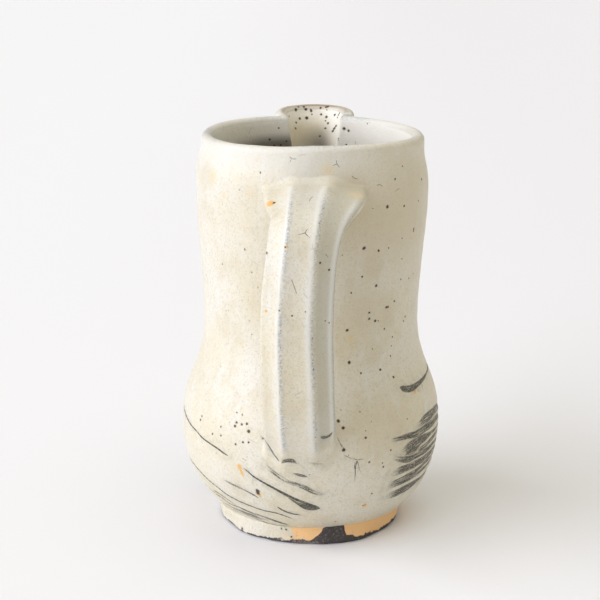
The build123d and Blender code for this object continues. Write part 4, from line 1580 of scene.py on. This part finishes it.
def floor_material():
    """White paper, with painted shade that makes it a little darker towards the right."""
    shader = Shader("studio_floor")
    side = shader.node("ShaderNodeSeparateXYZ", {"Vector": shader.place}).outputs["X"]
    colour = shader.mix(shader.step(side, -0.3, 0.3), FLOOR_LEFT, FLOOR_RIGHT_PAINTED_SHADE)
    shader.dress({"Base Color": colour, "Roughness": 0.9, "Specular IOR Level": 0.1})
    return shader.material


# Fields of the pieces
def ring_fields(shape):
    """Empty fields for every value that the materials read."""
    # Of these, inner is painted light and deep is painted shade, both inside the mouth
    names = ("pale_and_painted_light", "worn", "iron", "bare", "flash", "inner", "deep", "painted_shade", "tan")
    return {name: np.zeros(shape) for name in names}


def below_rim(depths, height):
    """From 0 at the first depth below the rim to 1 at the second."""
    return smooth_step(RIM_HEIGHT - depths[0], RIM_HEIGHT - depths[1], height)


def rim_and_patches(grid):
    """The paler glaze with painted light towards the rim, the broad tan patches and the painted shade in the
    hollow above the handle, at places near the wall.
    """
    bearing = np.degrees(bearing_of(grid))
    side, _, up = np.moveaxis(grid, -1, 0)
    tan = np.zeros(grid.shape[:2])
    for turn, height, turn_reach, height_reach, strength in TAN_PATCHES:
        tan = np.maximum(tan, bell(bearing, turn, turn_reach) * bell(up, height, height_reach) * strength)
    # Painted shade in the hollow above the handle's upper root
    valley = bell(side, VALLEY_PLACE[0], VALLEY_REACH[0]) * bell(up, VALLEY_PLACE[1], VALLEY_REACH[1])
    painted_shade = valley * (grid[..., 1] < 0) * VALLEY_PAINTED_SHADE
    # Paler glaze with painted light towards the rim, taken off again on the shaded right side
    rim_pale_and_painted_light = 0.75 * below_rim(RIM_PALE_AND_LIGHT_DEPTHS, up)
    rim_pale_and_painted_light *= 1 - 0.75 * smooth_step(*TAN_RIM_START, bearing) * smooth_step(*TAN_RIM_END, bearing)
    return rim_pale_and_painted_light, tan, painted_shade


def wall_fields(grid, marks):
    """Worn glaze, and pale glaze with painted light, along the rim, the brown edge of the spout's lip, and
    all of the inside.
    """
    fields = ring_fields(grid.shape[:2])
    rows = np.arange(len(grid))
    crest = bell(rows, marks["crest"], CREST_ROWS)[:, None]
    edge = bell(rows, marks["crest"] + BROWN_EDGE, BROWN_ROWS)[:, None]
    share = spout_share()[None]
    patches = smooth_step(*BROKEN_LINE, lattice_noise(grid, *BROWN_NOISE))
    fields["iron"] = edge * np.sqrt(share) * (0.6 + 0.4 * patches)
    rim_pale_and_painted_light, fields["tan"], fields["painted_shade"] = rim_and_patches(grid)
    fields["pale_and_painted_light"] = np.maximum(crest * 0.8, rim_pale_and_painted_light) * (1 - share)
    patches = smooth_step(*BROKEN_LINE, lattice_noise(grid, *CREST_NOISE))
    fields["worn"] = crest * (1 - share) * 0.7 * patches
    inside_fields(fields, grid, marks["inside"], rim_pale_and_painted_light, share)
    return fields


def inside_fields(fields, grid, first, rim_pale_and_painted_light, share):
    """The colour of the inside, from its first row on: pale with painted light near the rim, painted light on
    the upper wall, tan in the channel, and painted shade at the left, in the channel's hollow and over the
    lower wall.
    """
    side, _, height = np.moveaxis(grid[first:], -1, 0)
    middle = (share > 0) * smooth_step(*CHANNEL_SIDES, side)
    channel = middle * below_rim(CHANNEL_DEPTHS, height)
    lower = below_rim(LOWER_SHADE_DEPTHS, height)
    # Painted shade at the left of the inner wall and in the hollow of the channel
    shaded = smooth_step(*SHADE_SIDES, side) * (0.2 + 0.8 * smooth_step(*SHADE_FADE, side)) * (share == 0)
    shaded = shaded * below_rim(SHADE_DEPTHS, height) * 0.93
    hollow_shade = 0.2 + 0.75 * bell(side, HOLLOW_SHADE_PLACE, HOLLOW_SHADE_REACH)
    hollow_shade = hollow_shade * middle * below_rim(HOLLOW_SHADE_DEPTHS, height)
    fields["pale_and_painted_light"][first:] = rim_pale_and_painted_light[first:] * (1 - middle)
    fields["tan"][first:] = 0.8 * channel * (1 - lower) + 0.4 * lower
    fields["painted_shade"][first:] = 0
    # Painted light on the upper inner wall, and painted shade that lies evenly over the lower wall
    fields["inner"][first:] = below_rim(INSIDE_LIGHT_DEPTHS, height) * (1 - channel)
    fields["deep"][first:] = np.maximum(shaded, hollow_shade) * (1 - lower) + 0.5 * lower


def handle_fields(grid, marks):
    """Painted highlight lines and worn lines along the strap's ridges and edges, and painted shade on its
    right facet and at the top of its upper bend.
    """
    fields = ring_fields(grid.shape[:2])
    starts = np.cumsum([0] + strap_parts())
    rows = np.arange(len(grid))[:, None]
    column = np.arange(STRAP_POINTS)[None]
    past_start = rows - marks["start"]
    fade_out = smooth_step(*STRAP_OUT, rows - marks["stop"])
    on_strap = smooth_step(*LINES_IN, past_start) * fade_out
    half = STRAP_POINTS // 2
    for corner, strength, place in WORN_LINES:
        along = on_strap * strength
        if corner > 1:
            along = along * smooth_step(*EDGES_IN, past_start)
        around = (column - starts[corner] + half) % STRAP_POINTS - half
        # A painted highlight along the lit side before each ridge and edge
        pale_and_painted_light = bell(around, place - PAINTED_HIGHLIGHT_OFFSET, PAINTED_HIGHLIGHT_WIDTH) * along
        fields["pale_and_painted_light"] = np.maximum(fields["pale_and_painted_light"], pale_and_painted_light)
        fields["worn"] = np.maximum(fields["worn"], bell(around, place, WORN_WIDTH) * along)
    broken = smooth_step(-0.5, 0.5, lattice_noise(grid, *WORN_NOISE))
    fields["worn"] = fields["worn"] * (0.45 + 0.55 * broken)
    # Painted shade on the strap's right facet, and on the top of its upper bend
    facet = smooth_step(starts[1], starts[1] + 5, column) * smooth_step(starts[2] + 4, starts[2] - 2, column)
    fields["painted_shade"] = facet * (0.75 + 0.25 * smooth_step(marks["strap"], marks["strap"] + 45, rows))
    facet = smooth_step(2, 7, column) * smooth_step(starts[1], starts[1] - 4, column)
    fields["painted_shade"] += 0.4 * facet * smooth_step(marks["strap"] + 30, marks["strap"], rows)
    fields["painted_shade"] *= smooth_step(*PAINTED_SHADE_IN, past_start) * fade_out
    rim_pale_and_painted_light, tan, painted_shade = rim_and_patches(grid)
    gap = np.hypot(grid[..., 0], grid[..., 1]) - outer_radius(grid[..., 2])
    near_wall = smooth_step(*NEAR_WALL, gap)
    fields["tan"] = tan * smooth_step(*TAN_NEAR_WALL, gap)
    fields["painted_shade"] = np.maximum(fields["painted_shade"], painted_shade * near_wall)
    fields["pale_and_painted_light"] = np.maximum(fields["pale_and_painted_light"], rim_pale_and_painted_light * near_wall)
    return fields


def foot_fields(grid):
    """Bare clay at the foot's lower edge and underneath, widened at the left as painted contact shadow, and
    orange flashing above it in places.
    """
    fields = ring_fields(grid.shape[:2])
    bearing = np.degrees(bearing_of(grid))
    height = grid[..., 2] + waves(grid, BARE_RISE)
    bare_height = through(BARE_AND_SHADOW_HEIGHTS, bearing + waves(grid, BARE_WANDER))
    # Bare clay, with painted contact shadow where the edge is raised at the left
    fields["bare"] = np.clip((bare_height - height) / BARE_SOFT, -1, 1)
    fields["bare"][FOOT_OUTER_ROWS:] = 1.0
    patches = smooth_step(-1.2, -0.2, lattice_noise(grid, *FLASH_NOISE))
    fields["flash"] = through(FLASH_SHARES, bearing + waves(grid, FLASH_WANDER)) * patches
    fields["tan"] = smooth_step(2.2, 1.0, height) * smooth_step(-12, -6, bearing) * smooth_step(8, 3, bearing)
    return fields


def sorted_spots(tree, spots_list):
    """Spots cast onto the clay, sorted into those of the handle, the wall and the foot."""
    found = {"handle": [], "wall": [], "foot": []}
    for across, down, radius in spots_list:
        place = cast(tree, (across, down))
        if place is None:
            continue
        gap = np.hypot(place[0], place[1]) - outer_radius(place[2])
        piece = "handle" if gap > HANDLE_CLEARANCE and place[1] < 0 else "wall"
        found["foot" if place[2] < FOOT_HEIGHT - 0.5 else piece].append((place, radius))
    return found


def build_wall(grid, marks, fields, glaze):
    """The thrown body and the spout, cut apart along the spout's two seams and its lower end."""
    rows = len(grid)
    heights = grid[..., 2].ravel()
    left = SPOUT_START + SPOUT_SIDE_COLUMNS
    right = left + SPOUT_LIP_COLUMNS
    crest = marks["crest"]
    low_outer = next(row for row in range(marks["crease"], rows) if grid[row, 0, 2] > SPOUT_SEAM)
    low_inner = next(row for row in range(rows - 1, 0, -1) if grid[row, 0, 2] > CHANNEL_SEAM)
    caps = []
    for column in (left, right):
        outer = [row * COLUMNS + column for row in range(crest, low_outer - 1, -1)]
        inner = [row * COLUMNS + column for row in range(crest, low_inner + 1)]
        caps += bridge(outer, inner, heights)
    for column in range(left, right):
        caps.append((low_outer * COLUMNS + column, low_outer * COLUMNS + column + 1,
                     low_inner * COLUMNS + column + 1, low_inner * COLUMNS + column))
    body = []
    stretches = (((0, low_outer), (0, COLUMNS)), ((low_outer, low_inner), (right, COLUMNS)),
                 ((low_outer, low_inner), (0, left)), ((low_inner, rows - 1), (0, COLUMNS)))
    for row_range, column_range in stretches:
        body += grid_faces(rows, COLUMNS, row_range, column_range).tolist()
    body += [fill_pole(0, COLUMNS, True), fill_pole(rows - 1, COLUMNS, False)]
    spout = grid_faces(rows, COLUMNS, (low_outer, low_inner), (left, right)).tolist()
    make_piece("thrown_body", grid, body + caps, glaze, fields)
    make_piece("spout", grid, spout + caps, glaze, fields)


def build_handle(grid, marks, fields, glaze):
    """The strap and its two roots, cut apart across the strap."""
    spans = (
        ("handle_upper_root", 0, marks["strap"]),
        ("handle_strap", marks["strap"], marks["lower"]),
        ("handle_lower_root", marks["lower"], len(grid) - 1),
    )
    for name, start, stop in spans:
        faces = grid_faces(len(grid), STRAP_POINTS, (start, stop), (0, STRAP_POINTS)).tolist()
        ends = [fill_pole(start, STRAP_POINTS, True), fill_pole(stop, STRAP_POINTS, False)]
        make_piece(name, grid, faces + ends, glaze, fields)


def build_pitcher():
    """All the pieces, with their marks."""
    wall, wall_marks = wall_grid()
    handle, handle_marks = handle_grid()
    foot = foot_grid(wall[wall_marks["crease"]])
    tree = grid_tree((wall, handle, foot))
    strokes = all_strokes(tree)
    specks = sorted_spots(tree, SPECKS)
    rust = sorted_spots(tree, RUST_SPOTS)
    stains = sorted_spots(tree, STAINS)
    glazes = {}
    for part in ("wall", "handle"):
        glazes[part] = clay_material(f"cream_glaze_{part}", specks[part], rust[part], stains[part], False)
    foot_clay = clay_material("bare_and_flashed_clay", specks["foot"], [], [], True)

    normals = grid_normals(wall)
    fields, groove = paint_strokes(wall, normals, strokes)
    wall -= normals * groove[..., None]
    build_wall(wall, wall_marks, {**wall_fields(wall, wall_marks), **fields}, glazes["wall"])

    normals = -grid_normals(handle)
    fields, groove = paint_strokes(handle, normals, strokes)
    handle -= normals * groove[..., None]
    fields = {**handle_fields(handle, handle_marks), **fields}
    build_handle(handle, handle_marks, fields, glazes["handle"])

    fields, _ = paint_strokes(foot, grid_normals(foot), [])
    faces = grid_faces(len(foot), COLUMNS, (0, len(foot)), (0, COLUMNS)).tolist()
    make_piece("foot_ring", foot, faces, foot_clay, {**foot_fields(foot), **fields})


build_pitcher()

bpy.ops.mesh.primitive_plane_add(size=FLOOR_SIZE)
floor = bpy.context.object
floor.name = "floor"
floor.data.materials.append(floor_material())

across, up, ahead = camera_axes()
lens = bpy.data.cameras.new("camera")
lens.sensor_width = SENSOR
lens.lens = VIEW_FOCAL / FRAME_PIXELS * SENSOR
camera = bpy.data.objects.new("camera", lens)
turn = np.eye(4)
turn[:3, 0] = across
turn[:3, 1] = up
turn[:3, 2] = -ahead
turn[:3, 3] = VIEW_PLACE * MM
camera.matrix_world = Matrix(turn.tolist())
bpy.context.scene.collection.objects.link(camera)
bpy.context.scene.camera = camera

world = bpy.data.worlds.new("studio")
world.use_nodes = True
world.node_tree.nodes["Background"].inputs["Color"].default_value = (1, 1, 1, 1)
world.node_tree.nodes["Background"].inputs["Strength"].default_value = WORLD_LIGHT
bpy.context.scene.world = world


def soft_light(name, colour, strength, spread, height, heading):
    """A very large soft light, as even over the floor as a wide studio's."""
    data = bpy.data.lights.new(name, "SUN")
    data.color = colour
    data.angle = radians(spread)
    data.energy = strength
    lamp = bpy.data.objects.new(name, data)
    height = radians(height)
    heading = radians(heading)
    away = Vector((cos(height) * cos(heading), cos(height) * sin(heading), -sin(height)))
    lamp.rotation_euler = away.to_track_quat("-Z", "Y").to_euler()
    bpy.context.scene.collection.objects.link(lamp)


for light in LIGHTS:
    soft_light(*light)
bpy.context.scene.view_settings.view_transform = "Standard"
